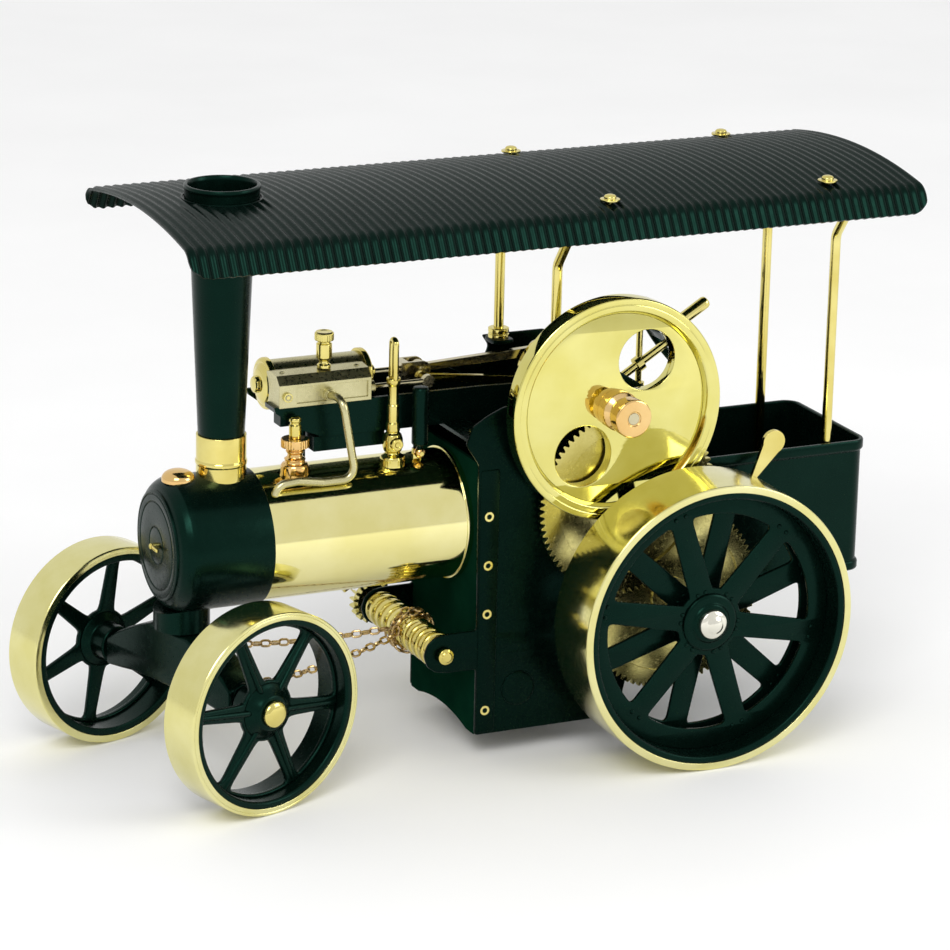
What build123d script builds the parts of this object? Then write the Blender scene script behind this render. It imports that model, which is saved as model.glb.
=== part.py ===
from build123d import *
from math import acos, asin, atan2, cos, degrees, hypot, pi, radians, sin, sqrt, tan
import os

# Model steam traction engine with a corrugated roof. Millimetres: +X runs forward to the smokebox,
# +Y to the engine's left, +Z up. The origin is on the ground under the middle of the whole engine.
# The front axle rests a little way into a left turn.
os.makedirs("parts", exist_ok=True)

# ---------------------------------------------------------------- driving dimensions
REAR_AXLE_X = -67.53       # rear axle, measured from the middle of the engine
REAR_R = 51.0              # rear wheel on its tyre
REAR_TYRE_W = 25.0
REAR_OUTER_Y = 67.4
FRONT_R = 35.1
FRONT_TYRE_W = 15.6
FRONT_OUTER_Y = 51.3
TYRE_T = 2.6
STEER_AT_REST = 16.7       # degrees to the left

BODY_HALF_W = 27.6         # outside of the side plates and the tender
SHEET = 1.4
BOILER_R = 22.5
BOILER_Z = 81.6
SMOKEBOX_R = 23.2
FIREBOX_FRONT = 73.0       # these lengths are forward of the rear axle
SMOKEBOX_REAR = 145.6
SMOKEBOX_FRONT = 178.5
KING_PIN = 170.4
CHIMNEY = 156.3
TENDER_FRONT, TENDER_REAR = -12.0, -78.5
TENDER_BOTTOM, TENDER_TOP = 50.8, 99.1

CRANK, CRANK_Z = 27.8, 124.2
CRANK_THROW = 8.5
CRANK_ANGLE = 60.0         # crank pin above straight ahead
CYL_Y, CYL_Z = -15.0, 129.6
GUDGEON = 77.7
CYL_REAR, CYL_FRONT = 100.4, 133.4
FLYWHEEL_R = 39.0
FLYWHEEL_Y = (33.0, 40.0)

GEAR_MODULE = 0.8
CRANK_TEETH, LAY_TEETH, LAY_PINION_TEETH, AXLE_TEETH = 9, 82, 24, 82
DRUM_TEETH = 18
LAY_GEAR_Y = (30.5, 32.5)
FINAL_GEAR_Y = (28.1, 30.1)

DRUM, DRUM_Z = 85.6, 39.8
DRUM_R = 5.6
COLUMN_Y = -33.5
STEERING_WHEEL, STEERING_WHEEL_Z = -30.2, 124.6
STEERING_WHEEL_R = 18.6

ROOF_REAR, ROOF_FRONT = -83.7, 186.6
ROOF_HALF_W, ROOF_BOTTOM = 51.8, 186.3
ROOF_BEND_Y, ROOF_BEND_Z, ROOF_CROWN_Z = 46.0, 195.2, 199.9
ROOF_T = 1.2
POST_R = 1.75
POST_FRONT, POST_FRONT_Y, HORN_TOP = 43.8, 22.4, 135.4
HORN_REAR = 24.0           # where the horn's level top ends, behind the crankshaft
POST_REAR, POST_REAR_Y = -62.8, 24.2
RAIL_Y, RAIL_Z = 38.5, 193.7
ROOF_SCREWS = (33.0, -50.0)

RUN = 0.05                 # radial clearance of a running fit


def fwd(distance):
    """X of a point this far forward of the rear axle."""
    return REAR_AXLE_X + distance


def cross_axis(distance, z):
    """An axis from right to left, forward of the rear axle and at this height."""
    return Axis((fwd(distance), 0, z), (0, 1, 0))


def gear_outline(teeth, mesh_angle, tooth_there, slim=0.0):
    """Corners of a spur gear with involute flanks, about its own centre, X forward and Y up.

    mesh_angle is the direction of the mating gear. A tooth points that way, or else a gap.
    """
    pitch_r = GEAR_MODULE * teeth / 2
    base_r = pitch_r * cos(radians(20))
    tip_r = pitch_r + 0.92 * GEAR_MODULE
    root_r = pitch_r - 1.2 * GEAR_MODULE
    half_pitch = pi / teeth

    def half_angle(radius):
        turn = acos(min(1, base_r / max(radius, base_r)))
        involute = tan(turn) - turn
        at_pitch = tan(radians(20)) - radians(20)
        return half_pitch / 2 - (0.07 + slim) / pitch_r + at_pitch - involute

    start = radians(mesh_angle) + (0 if tooth_there else half_pitch)
    corners = []
    for tooth in range(teeth):
        middle = start + 2 * half_pitch * tooth
        half_root = min(half_angle(base_r), half_pitch * 0.8) * (0.62 if teeth < 17 else 1)
        for radius, angle in (
            (root_r, -half_root), (pitch_r, -half_angle(pitch_r)), (tip_r, -half_angle(tip_r)),
            (tip_r, half_angle(tip_r)), (pitch_r, half_angle(pitch_r)), (root_r, half_root),
        ):
            corners.append((radius * cos(middle + angle), radius * sin(middle + angle)))
    return corners


# ---------------------------------------------------------------- places worked out from them
# The intermediate gear's stud is where its two centre distances meet.
LAY_REACH = GEAR_MODULE * (CRANK_TEETH + LAY_TEETH) / 2
AXLE_REACH = GEAR_MODULE * (LAY_PINION_TEETH + AXLE_TEETH) / 2
crank_to_axle = hypot(CRANK, CRANK_Z - REAR_R)
along = (AXLE_REACH**2 - LAY_REACH**2 + crank_to_axle**2) / (2 * crank_to_axle)
aside = sqrt(AXLE_REACH**2 - along**2)
slope = atan2(CRANK_Z - REAR_R, CRANK)
LAY = along * cos(slope) + aside * sin(slope)
LAY_Z = REAR_R + along * sin(slope) - aside * cos(slope)
LAY_TO_CRANK = degrees(atan2(CRANK_Z - LAY_Z, CRANK - LAY))
LAY_TO_AXLE = degrees(atan2(REAR_R - LAY_Z, -LAY))

PIN = CRANK + CRANK_THROW * cos(radians(CRANK_ANGLE))
PIN_Z = CRANK_Z + CRANK_THROW * sin(radians(CRANK_ANGLE))

# The steering column runs down to a worm that lies against the drum's wheel.
DRUM_WHEEL_R, WORM_R = GEAR_MODULE * (DRUM_TEETH / 2 + 0.92), 2.5
column_reach = DRUM_WHEEL_R + WORM_R + 0.25
column_run = hypot(DRUM - STEERING_WHEEL, STEERING_WHEEL_Z - DRUM_Z)
COLUMN_TILT = degrees(
    atan2(STEERING_WHEEL_Z - DRUM_Z, DRUM - STEERING_WHEEL) - asin(column_reach / column_run)
)
WORM_AT = sqrt(column_run**2 - column_reach**2)

# The front axle's own frame: x along the wheels' rolling direction, y along the axle.
steer = radians(STEER_AT_REST)
axle_frame = Plane(origin=(fwd(KING_PIN), 0, FRONT_R), x_dir=(cos(steer), sin(steer), 0), z_dir=(0, 0, 1))
axle_line = Axis((fwd(KING_PIN), 0, FRONT_R), (-sin(steer), cos(steer), 0))


def axle_facing(y):
    """A plane across the front axle: x up, y forward, normal to the left."""
    centre = axle_frame.from_local_coords((0, y, 0))
    return Plane(origin=centre, x_dir=(0, 0, 1), z_dir=axle_line.direction)


# ================================================================ frame
plate_points = [
    (73, 8.6), (73, 32.8), (85.6, 32.8), (85.6, 46.8), (73, 46.8), (73.6, 106), (78.4, 113.4),
    (76.2, 119.6),
    (70.6, 123.0), (64.6, 125.6), (51.5, 126.2),
]
for side, sign in (("left", 1), ("right", -1)):
    with BuildPart() as side_plate:
        with BuildSketch(Plane.XZ.offset(-sign * BODY_HALF_W)) as outline:
            with BuildLine() as edge:
                Polyline([(fwd(x), z) for x, z in plate_points])
                hollow = ThreePointArc((fwd(51.5), 126.2), (fwd(46.8), 128.0), (fwd(45.4), 131.6))
                Polyline(
                    hollow @ 1, (fwd(48.2), HORN_TOP), (fwd(HORN_REAR), HORN_TOP), (fwd(-4), 118),
                    (fwd(-9), TENDER_TOP),
                    (fwd(TENDER_FRONT) + 0.2, TENDER_TOP), (fwd(TENDER_FRONT) + 0.2, TENDER_BOTTOM),
                    (fwd(12), 36), (fwd(18), 8.6), (fwd(73), 8.6),
                )
            make_face()
            with Locations((fwd(DRUM), DRUM_Z)):
                Circle(7.0)
                Circle(1.6 + RUN, mode=Mode.SUBTRACT)
            with Locations((fwd(0), REAR_R)):
                Circle(2.4 + RUN, mode=Mode.SUBTRACT)
            if side == "left":
                with Locations((fwd(CRANK), CRANK_Z)):
                    Circle(3.2, mode=Mode.SUBTRACT)
                with Locations((fwd(LAY), LAY_Z)):
                    Circle(1.5, mode=Mode.SUBTRACT)
        extrude(amount=sign * SHEET)
        # The tab that the roof's front post stands on is bent inwards from the plate's top.
        with Locations((fwd(POST_FRONT), sign * (BODY_HALF_W - SHEET - 4.5), HORN_TOP - 0.7)):
            Box(8, 9, 1.4)
    side_plate.part.label = f"side_plate_{side}"
    export_step(side_plate.part, f"parts/side_plate_{side}.step")

INNER_HALF_W = BODY_HALF_W - SHEET
with BuildPart() as firebox_front_plate:
    with BuildSketch(Plane.YZ.offset(fwd(FIREBOX_FRONT) - SHEET)):
        with BuildLine():
            Polyline(
                (INNER_HALF_W, 8.6), (INNER_HALF_W, 106), (-INNER_HALF_W, 106),
                (-INNER_HALF_W, 8.6), (-20, 8.6)
            )
            ThreePointArc((-20, 8.6), (0, 11.4), (20, 8.6))
            Line((20, 8.6), (INNER_HALF_W, 8.6))
        make_face()
        with Locations((0, BOILER_Z)):
            Circle(BOILER_R, mode=Mode.SUBTRACT)
    extrude(amount=SHEET)
firebox_front_plate.part.label = "firebox_front_plate"
export_step(firebox_front_plate.part, "parts/firebox_front_plate.step")

# The plate across the back of the firebox holds the boiler's other end.
with BuildPart() as firebox_rear_plate:
    with BuildSketch(Plane.YZ.offset(fwd(13.6))):
        with Locations((0, 84.0)):
            Rectangle(2 * INNER_HALF_W, 44.0)
        with Locations((0, BOILER_Z)):
            Circle(BOILER_R, mode=Mode.SUBTRACT)
    extrude(amount=1.2)
firebox_rear_plate.part.label = "firebox_rear_plate"
export_step(firebox_rear_plate.part, "parts/firebox_rear_plate.step")

# Open tender box, with a rolled bead at its top and bottom edges.
TENDER_L = TENDER_FRONT - TENDER_REAR - 0.8
with BuildPart() as tender:
    with BuildSketch(Plane.XY.offset(TENDER_BOTTOM)) as tender_plan:
        with Locations((fwd(TENDER_REAR + 0.8 + TENDER_L / 2), 0)):
            Rectangle(TENDER_L, 2 * BODY_HALF_W - 1.6)
        fillet(tender_plan.vertices().group_by(Axis.X)[0], 5)
    extrude(amount=TENDER_TOP - TENDER_BOTTOM)
    for low, high in ((TENDER_BOTTOM, TENDER_BOTTOM + 3.4), (TENDER_TOP - 3.4, TENDER_TOP)):
        with BuildSketch(Plane.XY.offset(low)) as bead:
            with Locations((fwd(TENDER_REAR + (TENDER_L + 0.8) / 2), 0)):
                Rectangle(TENDER_L + 0.8, 2 * BODY_HALF_W)
            fillet(bead.vertices().group_by(Axis.X)[0], 5.8)
        extrude(amount=high - low)
    with BuildSketch(Plane.XY.offset(TENDER_BOTTOM + 1.2)) as inside:
        with Locations((fwd(TENDER_REAR + 2.2 + TENDER_L / 2), 0)):
            Rectangle(TENDER_L, 2 * BODY_HALF_W - 3.2)
        fillet(inside.vertices().group_by(Axis.X)[0], 3.6)
    extrude(amount=TENDER_TOP, mode=Mode.SUBTRACT)
tender.part.label = "tender"
export_step(tender.part, "parts/tender.step")

# ================================================================ boiler and smokebox
BACKHEAD = 11.0
with BuildPart() as boiler_barrel:
    with BuildSketch(Plane.YZ.offset(fwd(BACKHEAD))):
        with Locations((0, BOILER_Z)):
            Circle(BOILER_R)
    extrude(amount=SMOKEBOX_REAR - BACKHEAD)
    with BuildSketch(Plane.YZ.offset(fwd(BACKHEAD + 1.2))):
        with Locations((0, BOILER_Z)):
            Circle(BOILER_R - 0.9)
    extrude(amount=SMOKEBOX_REAR, mode=Mode.SUBTRACT)
    with BuildSketch(Plane.YZ.offset(fwd(FIREBOX_FRONT))):
        with Locations((0, BOILER_Z)):
            Circle(BOILER_R + 0.6)
            Circle(BOILER_R - 0.9, mode=Mode.SUBTRACT)
    extrude(amount=2.2)
boiler_barrel.part.label = "boiler_barrel"
export_step(boiler_barrel.part, "parts/boiler_barrel.step")

with BuildPart() as smokebox:
    with BuildSketch(Plane.XZ):
        with BuildLine():
            Polyline(
                (fwd(SMOKEBOX_REAR), BOILER_Z + BOILER_R - 3),
                (fwd(SMOKEBOX_REAR), BOILER_Z + SMOKEBOX_R),
                (fwd(SMOKEBOX_FRONT - 5.5), BOILER_Z + SMOKEBOX_R),
            )
            RadiusArc(
                (fwd(SMOKEBOX_FRONT - 5.5), BOILER_Z + SMOKEBOX_R),
                (fwd(SMOKEBOX_FRONT), BOILER_Z + SMOKEBOX_R - 4.0), 6.2,
            )
            Polyline(
                (fwd(SMOKEBOX_FRONT), BOILER_Z + SMOKEBOX_R - 4.0),
                (fwd(SMOKEBOX_FRONT), BOILER_Z + 17.5),
                (fwd(SMOKEBOX_FRONT - 1.5), BOILER_Z + 17.5),
                (fwd(SMOKEBOX_FRONT - 1.5), BOILER_Z + BOILER_R - 3),
                (fwd(SMOKEBOX_REAR), BOILER_Z + BOILER_R - 3),
            )
        make_face()
    revolve(axis=Axis((0, 0, BOILER_Z), (1, 0, 0)))
smokebox.part.label = "smokebox"
export_step(smokebox.part, "parts/smokebox.step")

with BuildPart() as smokebox_door:
    with BuildSketch(Plane.YZ.offset(fwd(SMOKEBOX_FRONT))) as door_face:
        with Locations((0, BOILER_Z)):
            Circle(19.0)
    extrude(amount=1.0)
    for ring in (17.6, 6.4):
        with BuildSketch(Plane.YZ.offset(fwd(SMOKEBOX_FRONT + 0.6))):
            with Locations((0, BOILER_Z)):
                Circle(ring + 0.25)
                Circle(ring - 0.25, mode=Mode.SUBTRACT)
        extrude(amount=0.5, mode=Mode.SUBTRACT)
    with Locations((fwd(SMOKEBOX_FRONT - 0.7), 0, BOILER_Z)):
        Cylinder(17.45, 1.4, rotation=(0, 90, 0))
smokebox_door.part.label = "smokebox_door"
export_step(smokebox_door.part, "parts/smokebox_door.step")

with BuildPart() as door_handle:
    with Locations((fwd(SMOKEBOX_FRONT + 2.2), 0, BOILER_Z)):
        Cylinder(1.1, 2.4, rotation=(0, 90, 0))
    with Locations((fwd(SMOKEBOX_FRONT + 2.6), 2.6, BOILER_Z)):
        Box(1.0, 6.4, 1.6)
door_handle.part.label = "door_handle"
export_step(door_handle.part, "parts/door_handle.step")

DOME_X = 171.7
with BuildPart() as smokebox_dome:
    with Locations((fwd(DOME_X), 0, BOILER_Z + SMOKEBOX_R - 6.1)):
        Sphere(9.2)
    with Locations((fwd(DOME_X), 0, BOILER_Z)):
        Cylinder(SMOKEBOX_R, 40, rotation=(0, 90, 0), mode=Mode.SUBTRACT)
    with BuildSketch(Plane.XY):
        with Locations((fwd(DOME_X), 0)):
            Circle(5.6)
    extrude(amount=200, mode=Mode.INTERSECT)
smokebox_dome.part.label = "smokebox_dome"
export_step(smokebox_dome.part, "parts/smokebox_dome.step")

# ---------------------------------------------------------------- chimney
CHIMNEY_FOOT, CHIMNEY_TOP = 118.6, 204.2
with BuildPart() as chimney:
    with BuildSketch(Plane.XZ):
        with BuildLine():
            Polyline(
                (fwd(CHIMNEY) + 6.4, CHIMNEY_FOOT), (fwd(CHIMNEY) + 7.9, CHIMNEY_FOOT),
                (fwd(CHIMNEY) + 10.9, 187), (fwd(CHIMNEY) + 11.2, 193.5), (fwd(CHIMNEY) + 12.5, 195),
                (fwd(CHIMNEY) + 12.8, CHIMNEY_TOP), (fwd(CHIMNEY) + 11.4, CHIMNEY_TOP),
                (fwd(CHIMNEY) + 10.6, 194), (fwd(CHIMNEY) + 6.4, CHIMNEY_FOOT),
            )
        make_face()
    revolve(axis=Axis((fwd(CHIMNEY), 0, 0), (0, 0, 1)))
chimney.part.label = "chimney"
export_step(chimney.part, "parts/chimney.step")

with BuildPart() as chimney_band:
    with BuildSketch(Plane.XY.offset(BOILER_Z)):
        with Locations((fwd(CHIMNEY), 0)):
            Circle(8.5)
    extrude(amount=CHIMNEY_FOOT - BOILER_Z)
    with BuildSketch(Plane.XY.offset(108.7)):
        with Locations((fwd(CHIMNEY), 0)):
            Circle(8.8)
    extrude(amount=0.8)
    with BuildSketch(Plane.XY.offset(BOILER_Z)):
        with Locations((fwd(CHIMNEY), 0)):
            Circle(6.6)
    extrude(amount=60, mode=Mode.SUBTRACT)
    with Locations((fwd(CHIMNEY), 0, BOILER_Z)):
        Cylinder(SMOKEBOX_R, 60, rotation=(0, 90, 0), mode=Mode.SUBTRACT)
chimney_band.part.label = "chimney_band"
export_step(chimney_band.part, "parts/chimney_band.step")

# ================================================================ roof
with BuildPart() as roof:
    with BuildSketch(Plane.YZ.offset(fwd(ROOF_REAR))) as roof_section:
        with BuildLine():
            ThreePointArc((-ROOF_BEND_Y, ROOF_BEND_Z), (0, ROOF_CROWN_Z), (ROOF_BEND_Y, ROOF_BEND_Z))
            Polyline(
                (ROOF_BEND_Y, ROOF_BEND_Z), (ROOF_HALF_W, ROOF_BOTTOM),
                (ROOF_HALF_W - ROOF_T, ROOF_BOTTOM),
                (ROOF_BEND_Y - ROOF_T, ROOF_BEND_Z - 0.8),
            )
            ThreePointArc(
                (ROOF_BEND_Y - ROOF_T, ROOF_BEND_Z - 0.8), (0, ROOF_CROWN_Z - ROOF_T),
                (-ROOF_BEND_Y + ROOF_T, ROOF_BEND_Z - 0.8),
            )
            Polyline(
                (-ROOF_BEND_Y + ROOF_T, ROOF_BEND_Z - 0.8), (-ROOF_HALF_W + ROOF_T, ROOF_BOTTOM),
                (-ROOF_HALF_W, ROOF_BOTTOM), (-ROOF_BEND_Y, ROOF_BEND_Z),
            )
        make_face()
    extrude(amount=ROOF_FRONT - ROOF_REAR)
    with BuildSketch(Plane.XY.offset(180)):
        with Locations((fwd(CHIMNEY), 0)):
            Circle(13.1)
        for x in ROOF_SCREWS:
            with Locations((fwd(x), RAIL_Y), (fwd(x), -RAIL_Y)):
                Circle(1.05)
    extrude(amount=30, mode=Mode.SUBTRACT)
roof.part.label = "roof"
export_step(roof.part, "parts/roof.step")

# Each side's two posts are one rod, bent over under the roof.
for side, sign in (("left", 1), ("right", -1)):
    with BuildPart() as roof_frame:
        with BuildLine() as rod_path:
            FilletPolyline(
                (fwd(POST_FRONT), sign * POST_FRONT_Y, HORN_TOP),
                (fwd(POST_FRONT), sign * POST_FRONT_Y, 172),
                (fwd(POST_FRONT), sign * RAIL_Y, RAIL_Z),
                (fwd(POST_REAR), sign * RAIL_Y, RAIL_Z),
                (fwd(POST_REAR), sign * POST_REAR_Y, 174),
                (fwd(POST_REAR), sign * POST_REAR_Y, TENDER_BOTTOM + 1.2),
                radius=7,
            )
        with BuildSketch(Plane.XY.offset(HORN_TOP)):
            with Locations((fwd(POST_FRONT), sign * POST_FRONT_Y)):
                Circle(POST_R)
        sweep(path=rod_path.wires()[0])
    roof_frame.part.label = f"roof_frame_{side}"
    export_step(roof_frame.part, f"parts/roof_frame_{side}.step")

with BuildPart() as roof_fasteners:
    for x in ROOF_SCREWS:
        with Locations((fwd(x), RAIL_Y, 197.5), (fwd(x), -RAIL_Y, 197.5)):
            Cylinder(3.4, 0.7)
        with Locations((fwd(x), RAIL_Y, 198.5), (fwd(x), -RAIL_Y, 198.5)):
            Cylinder(2.1, 1.3)
        with Locations((fwd(x), RAIL_Y, 196.305), (fwd(x), -RAIL_Y, 196.305)):
            Cylinder(1.0, 1.69)
    for sign in (1, -1):
        with BuildSketch(Plane.XY.offset(HORN_TOP)):
            with Locations((fwd(POST_FRONT), sign * POST_FRONT_Y)):
                Circle(3.7)
                Circle(POST_R, mode=Mode.SUBTRACT)
        extrude(amount=3.6)
roof_fasteners.part.label = "roof_fasteners"
export_step(roof_fasteners.part, "parts/roof_fasteners.step")

# ================================================================ cylinder and its bed
BED_Y = (-24.4, 1.8)
BED_FLOOR = 113.8
with BuildPart() as cylinder_bed:
    with BuildSketch(Plane.XZ.offset(-BED_Y[1])) as bed_side:
        with BuildLine():
            Polyline(
                (fwd(138), 125.8), (fwd(137.4), 123.8), (fwd(128.6), 117.2), (fwd(120), BED_FLOOR),
                (fwd(48), BED_FLOOR), (fwd(48), 119), (fwd(62), 125.8), (fwd(138), 125.8),
            )
        make_face()
    extrude(amount=BED_Y[1] - BED_Y[0])
    with BuildSketch(Plane.XZ.offset(-BED_Y[1] + 1.4)):
        with BuildLine():
            Polyline(
                (fwd(136), 126), (fwd(127.6), 118.4), (fwd(119.6), BED_FLOOR + 1.3),
                (fwd(40), BED_FLOOR + 1.3),
                (fwd(40), 130), (fwd(136), 130), (fwd(136), 126),
            )
        make_face()
    extrude(amount=BED_Y[1] - BED_Y[0] - 2.8, mode=Mode.SUBTRACT)
    # Step down onto the boiler, saddle under the cylinder and the flange between the side plates.
    with Locations((fwd(110), -4.2, 111.2)):
        Box(26, 10, 5.2)
    with Locations((fwd(118), CYL_Y, 118.5)):
        Box(24, 6, 8)
    with Locations((fwd(118), CYL_Y, CYL_Z)):
        Cylinder(8.0, 60, rotation=(0, 90, 0), mode=Mode.SUBTRACT)
    # Room for the cylinder's two covers.
    for x in (CYL_REAR - 4, CYL_FRONT + 4.4):
        with Locations((fwd(x), CYL_Y, CYL_Z)):
            Cylinder(9.3, 9, rotation=(0, 90, 0), mode=Mode.SUBTRACT)
    with Locations((fwd(72), 0, BED_FLOOR + 0.65)):
        Box(10, 2 * INNER_HALF_W, 1.3)
    # Inner bearing of the crankshaft, on the bed's near wall.
    with BuildSketch(Plane.XZ.offset(-BED_Y[1])):
        with BuildLine():
            Polyline(
                (fwd(62), 125.8), (fwd(62), BED_FLOOR), (fwd(30), BED_FLOOR), (fwd(22), 120),
                (fwd(22), 125),
                (fwd(33.6), 125), (fwd(62), 125.8),
            )
        make_face()
        with Locations((fwd(CRANK), CRANK_Z)):
            Circle(6.0)
            Circle(2.0 + RUN, mode=Mode.SUBTRACT)
    extrude(amount=1.4)
    with Locations((fwd(124.6), -6.0, 109.6)):
        Cylinder(1.2, 13.6)
    with Locations((fwd(90), 0, BOILER_Z)):
        Cylinder(BOILER_R, 90, rotation=(0, 90, 0), mode=Mode.SUBTRACT)
cylinder_bed.part.label = "cylinder_bed"
export_step(cylinder_bed.part, "parts/cylinder_bed.step")

with BuildPart() as cylinder_barrel:
    with BuildSketch(Plane.YZ.offset(fwd(CYL_REAR))):
        with Locations((CYL_Y, CYL_Z)):
            Circle(8.0)
            Circle(6.0, mode=Mode.SUBTRACT)
    extrude(amount=CYL_FRONT - CYL_REAR)
cylinder_barrel.part.label = "cylinder_barrel"
export_step(cylinder_barrel.part, "parts/cylinder_barrel.step")

with BuildPart() as cylinder_covers:
    with BuildSketch(Plane.XZ.offset(-CYL_Y)):
        with BuildLine():
            Polyline(
                (fwd(CYL_FRONT), CYL_Z), (fwd(CYL_FRONT), CYL_Z + 9.0),
                (fwd(CYL_FRONT + 2.2), CYL_Z + 9.0),
                (fwd(CYL_FRONT + 2.6), CYL_Z + 7.4), (fwd(CYL_FRONT + 3.6), CYL_Z + 5.5),
                (fwd(CYL_FRONT + 4.0), CYL_Z + 2.6), (fwd(CYL_FRONT + 5.8), CYL_Z + 2.6),
                (fwd(CYL_FRONT + 5.8), CYL_Z), (fwd(CYL_FRONT), CYL_Z),
            )
        make_face()
        with BuildLine():
            Polyline(
                (fwd(CYL_REAR), CYL_Z + 1.35), (fwd(CYL_REAR), CYL_Z + 9.0),
                (fwd(CYL_REAR - 2.2), CYL_Z + 9.0),
                (fwd(CYL_REAR - 2.6), CYL_Z + 6.5), (fwd(CYL_REAR - 3.0), CYL_Z + 3.0),
                (fwd(CYL_REAR - 5.6), CYL_Z + 3.0), (fwd(CYL_REAR - 5.6), CYL_Z + 1.35),
                (fwd(CYL_REAR), CYL_Z + 1.35),
            )
        make_face()
    revolve(axis=Axis((0, CYL_Y, CYL_Z), (1, 0, 0)))
cylinder_covers.part.label = "cylinder_covers"
export_step(cylinder_covers.part, "parts/cylinder_covers.step")

CHEST_REAR, CHEST_FRONT = 103.2, 136.8
CHEST_SIDE, PANEL_FRONT = 3.4, 130.4
PIPE_BOSS, PIPE_BOSS_Z = 118.6, 129.2
VALVE_Y, VALVE_Z = -1.8, 128.6
with BuildPart() as valve_chest:
    with BuildSketch(Plane.YZ.offset(fwd(CHEST_REAR))):
        with BuildLine():
            Polyline(
                (-8, 125.8), (CHEST_SIDE, 125.8), (CHEST_SIDE, 133.6), (0.6, 136.4),
                (-4.8, 136.9), (-8, 136.2), (-8, 125.8)
            )
        make_face()
    extrude(amount=CHEST_FRONT - CHEST_REAR)
    with Locations((fwd((CYL_REAR + CYL_FRONT) / 2), CYL_Y, CYL_Z)):
        Cylinder(8.0, 33, rotation=(0, 90, 0), mode=Mode.SUBTRACT)
    with Locations((fwd(CYL_FRONT + 4), CYL_Y, CYL_Z)):
        Cylinder(9.1, 8, rotation=(0, 90, 0), mode=Mode.SUBTRACT)
    # A sunk panel on the near side, and the steam pipe's boss in it.
    with Locations((fwd((CHEST_REAR + PANEL_FRONT) / 2 + 0.6), CHEST_SIDE, 129.8)):
        Box(PANEL_FRONT - CHEST_REAR - 1.2, 1.2, 5.6, mode=Mode.SUBTRACT)
    with Locations((fwd(PIPE_BOSS), CHEST_SIDE + 0.3, PIPE_BOSS_Z)):
        Cylinder(2.3, 1.8, rotation=(90, 0, 0))
    with BuildSketch(Plane.YZ.offset(fwd(CHEST_REAR))):
        with Locations((VALVE_Y, VALVE_Z)):
            Circle(2.2)
    extrude(amount=-3.0)
    with BuildSketch(Plane.YZ.offset(fwd(CHEST_REAR - 3))):
        with Locations((VALVE_Y, VALVE_Z)):
            Circle(1.0 + RUN)
    extrude(amount=24, mode=Mode.SUBTRACT)
valve_chest.part.label = "valve_chest"
export_step(valve_chest.part, "parts/valve_chest.step")

LUBRICATOR_X = 118.2
with BuildPart() as lubricator:
    with BuildSketch(Plane.XZ.offset(2.6)):
        with BuildLine():
            Polyline(
                (fwd(LUBRICATOR_X), 136.95), (fwd(LUBRICATOR_X) + 2.3, 136.95),
                (fwd(LUBRICATOR_X) + 2.3, 138.0),
                (fwd(LUBRICATOR_X) + 1.8, 138.6), (fwd(LUBRICATOR_X) + 2.7, 140.6),
                (fwd(LUBRICATOR_X) + 2.7, 145.4), (fwd(LUBRICATOR_X) + 2.0, 145.8),
                (fwd(LUBRICATOR_X) + 3.3, 146.6), (fwd(LUBRICATOR_X) + 3.3, 149.0),
                (fwd(LUBRICATOR_X) + 2.8, 149.6), (fwd(LUBRICATOR_X), 149.6), (fwd(LUBRICATOR_X), 136.95),
            )
        make_face()
    revolve(axis=Axis((fwd(LUBRICATOR_X), -2.6, 0), (0, 0, 1)))
lubricator.part.label = "lubricator"
export_step(lubricator.part, "parts/lubricator.step")

# Steam pipe from the chest, down beside the boiler's crown and forward to its front end.
PIPE_R = 1.4
PIPE_Y = 13.6
with BuildPart() as steam_pipe:
    with BuildLine() as pipe_path:
        FilletPolyline(
            (fwd(PIPE_BOSS), CHEST_SIDE + 1.4, PIPE_BOSS_Z), (fwd(118.1), PIPE_Y, 130.2),
            (fwd(112.9), PIPE_Y, 101.8),
            (fwd(125), PIPE_Y, 101.8), (fwd(134), PIPE_Y, 103.2), (fwd(140.8), PIPE_Y, 102.6),
            (fwd(142.6), PIPE_Y - 0.4, 97.6), radius=4.2,
        )
    with BuildSketch(Plane(origin=pipe_path.wires()[0] @ 0, z_dir=pipe_path.wires()[0] % 0)):
        Circle(PIPE_R)
    sweep(path=pipe_path.wires()[0])
    with Locations((fwd(120), 0, BOILER_Z)):
        Cylinder(BOILER_R, 90, rotation=(0, 90, 0), mode=Mode.SUBTRACT)
steam_pipe.part.label = "steam_pipe"
export_step(steam_pipe.part, "parts/steam_pipe.step")

VALVE_X, VALVE_SIDE = 131.4, 4.4
STEM_R = 1.3
with BuildPart() as safety_valve:
    with BuildSketch(Plane.XZ.offset(-VALVE_SIDE)):
        with BuildLine():
            Polyline(
                (fwd(VALVE_X) + STEM_R, 101), (fwd(VALVE_X) + 4.8, 101), (fwd(VALVE_X) + 4.8, 106.6),
                (fwd(VALVE_X) + 3.4, 107.6), (fwd(VALVE_X) + 2.4, 109.8), (fwd(VALVE_X) + 3.2, 112.2),
                (fwd(VALVE_X) + 4.8, 112.4), (fwd(VALVE_X) + 4.8, 115.4), (fwd(VALVE_X) + STEM_R, 115.4),
                (fwd(VALVE_X) + STEM_R, 101),
            )
        make_face()
    revolve(axis=Axis((fwd(VALVE_X), VALVE_SIDE, 0), (0, 0, 1)))
    with Locations((fwd(VALVE_X), 0, BOILER_Z)):
        Cylinder(BOILER_R, 20, rotation=(0, 90, 0), mode=Mode.SUBTRACT)
safety_valve.part.label = "safety_valve"
export_step(safety_valve.part, "parts/safety_valve.step")

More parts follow.
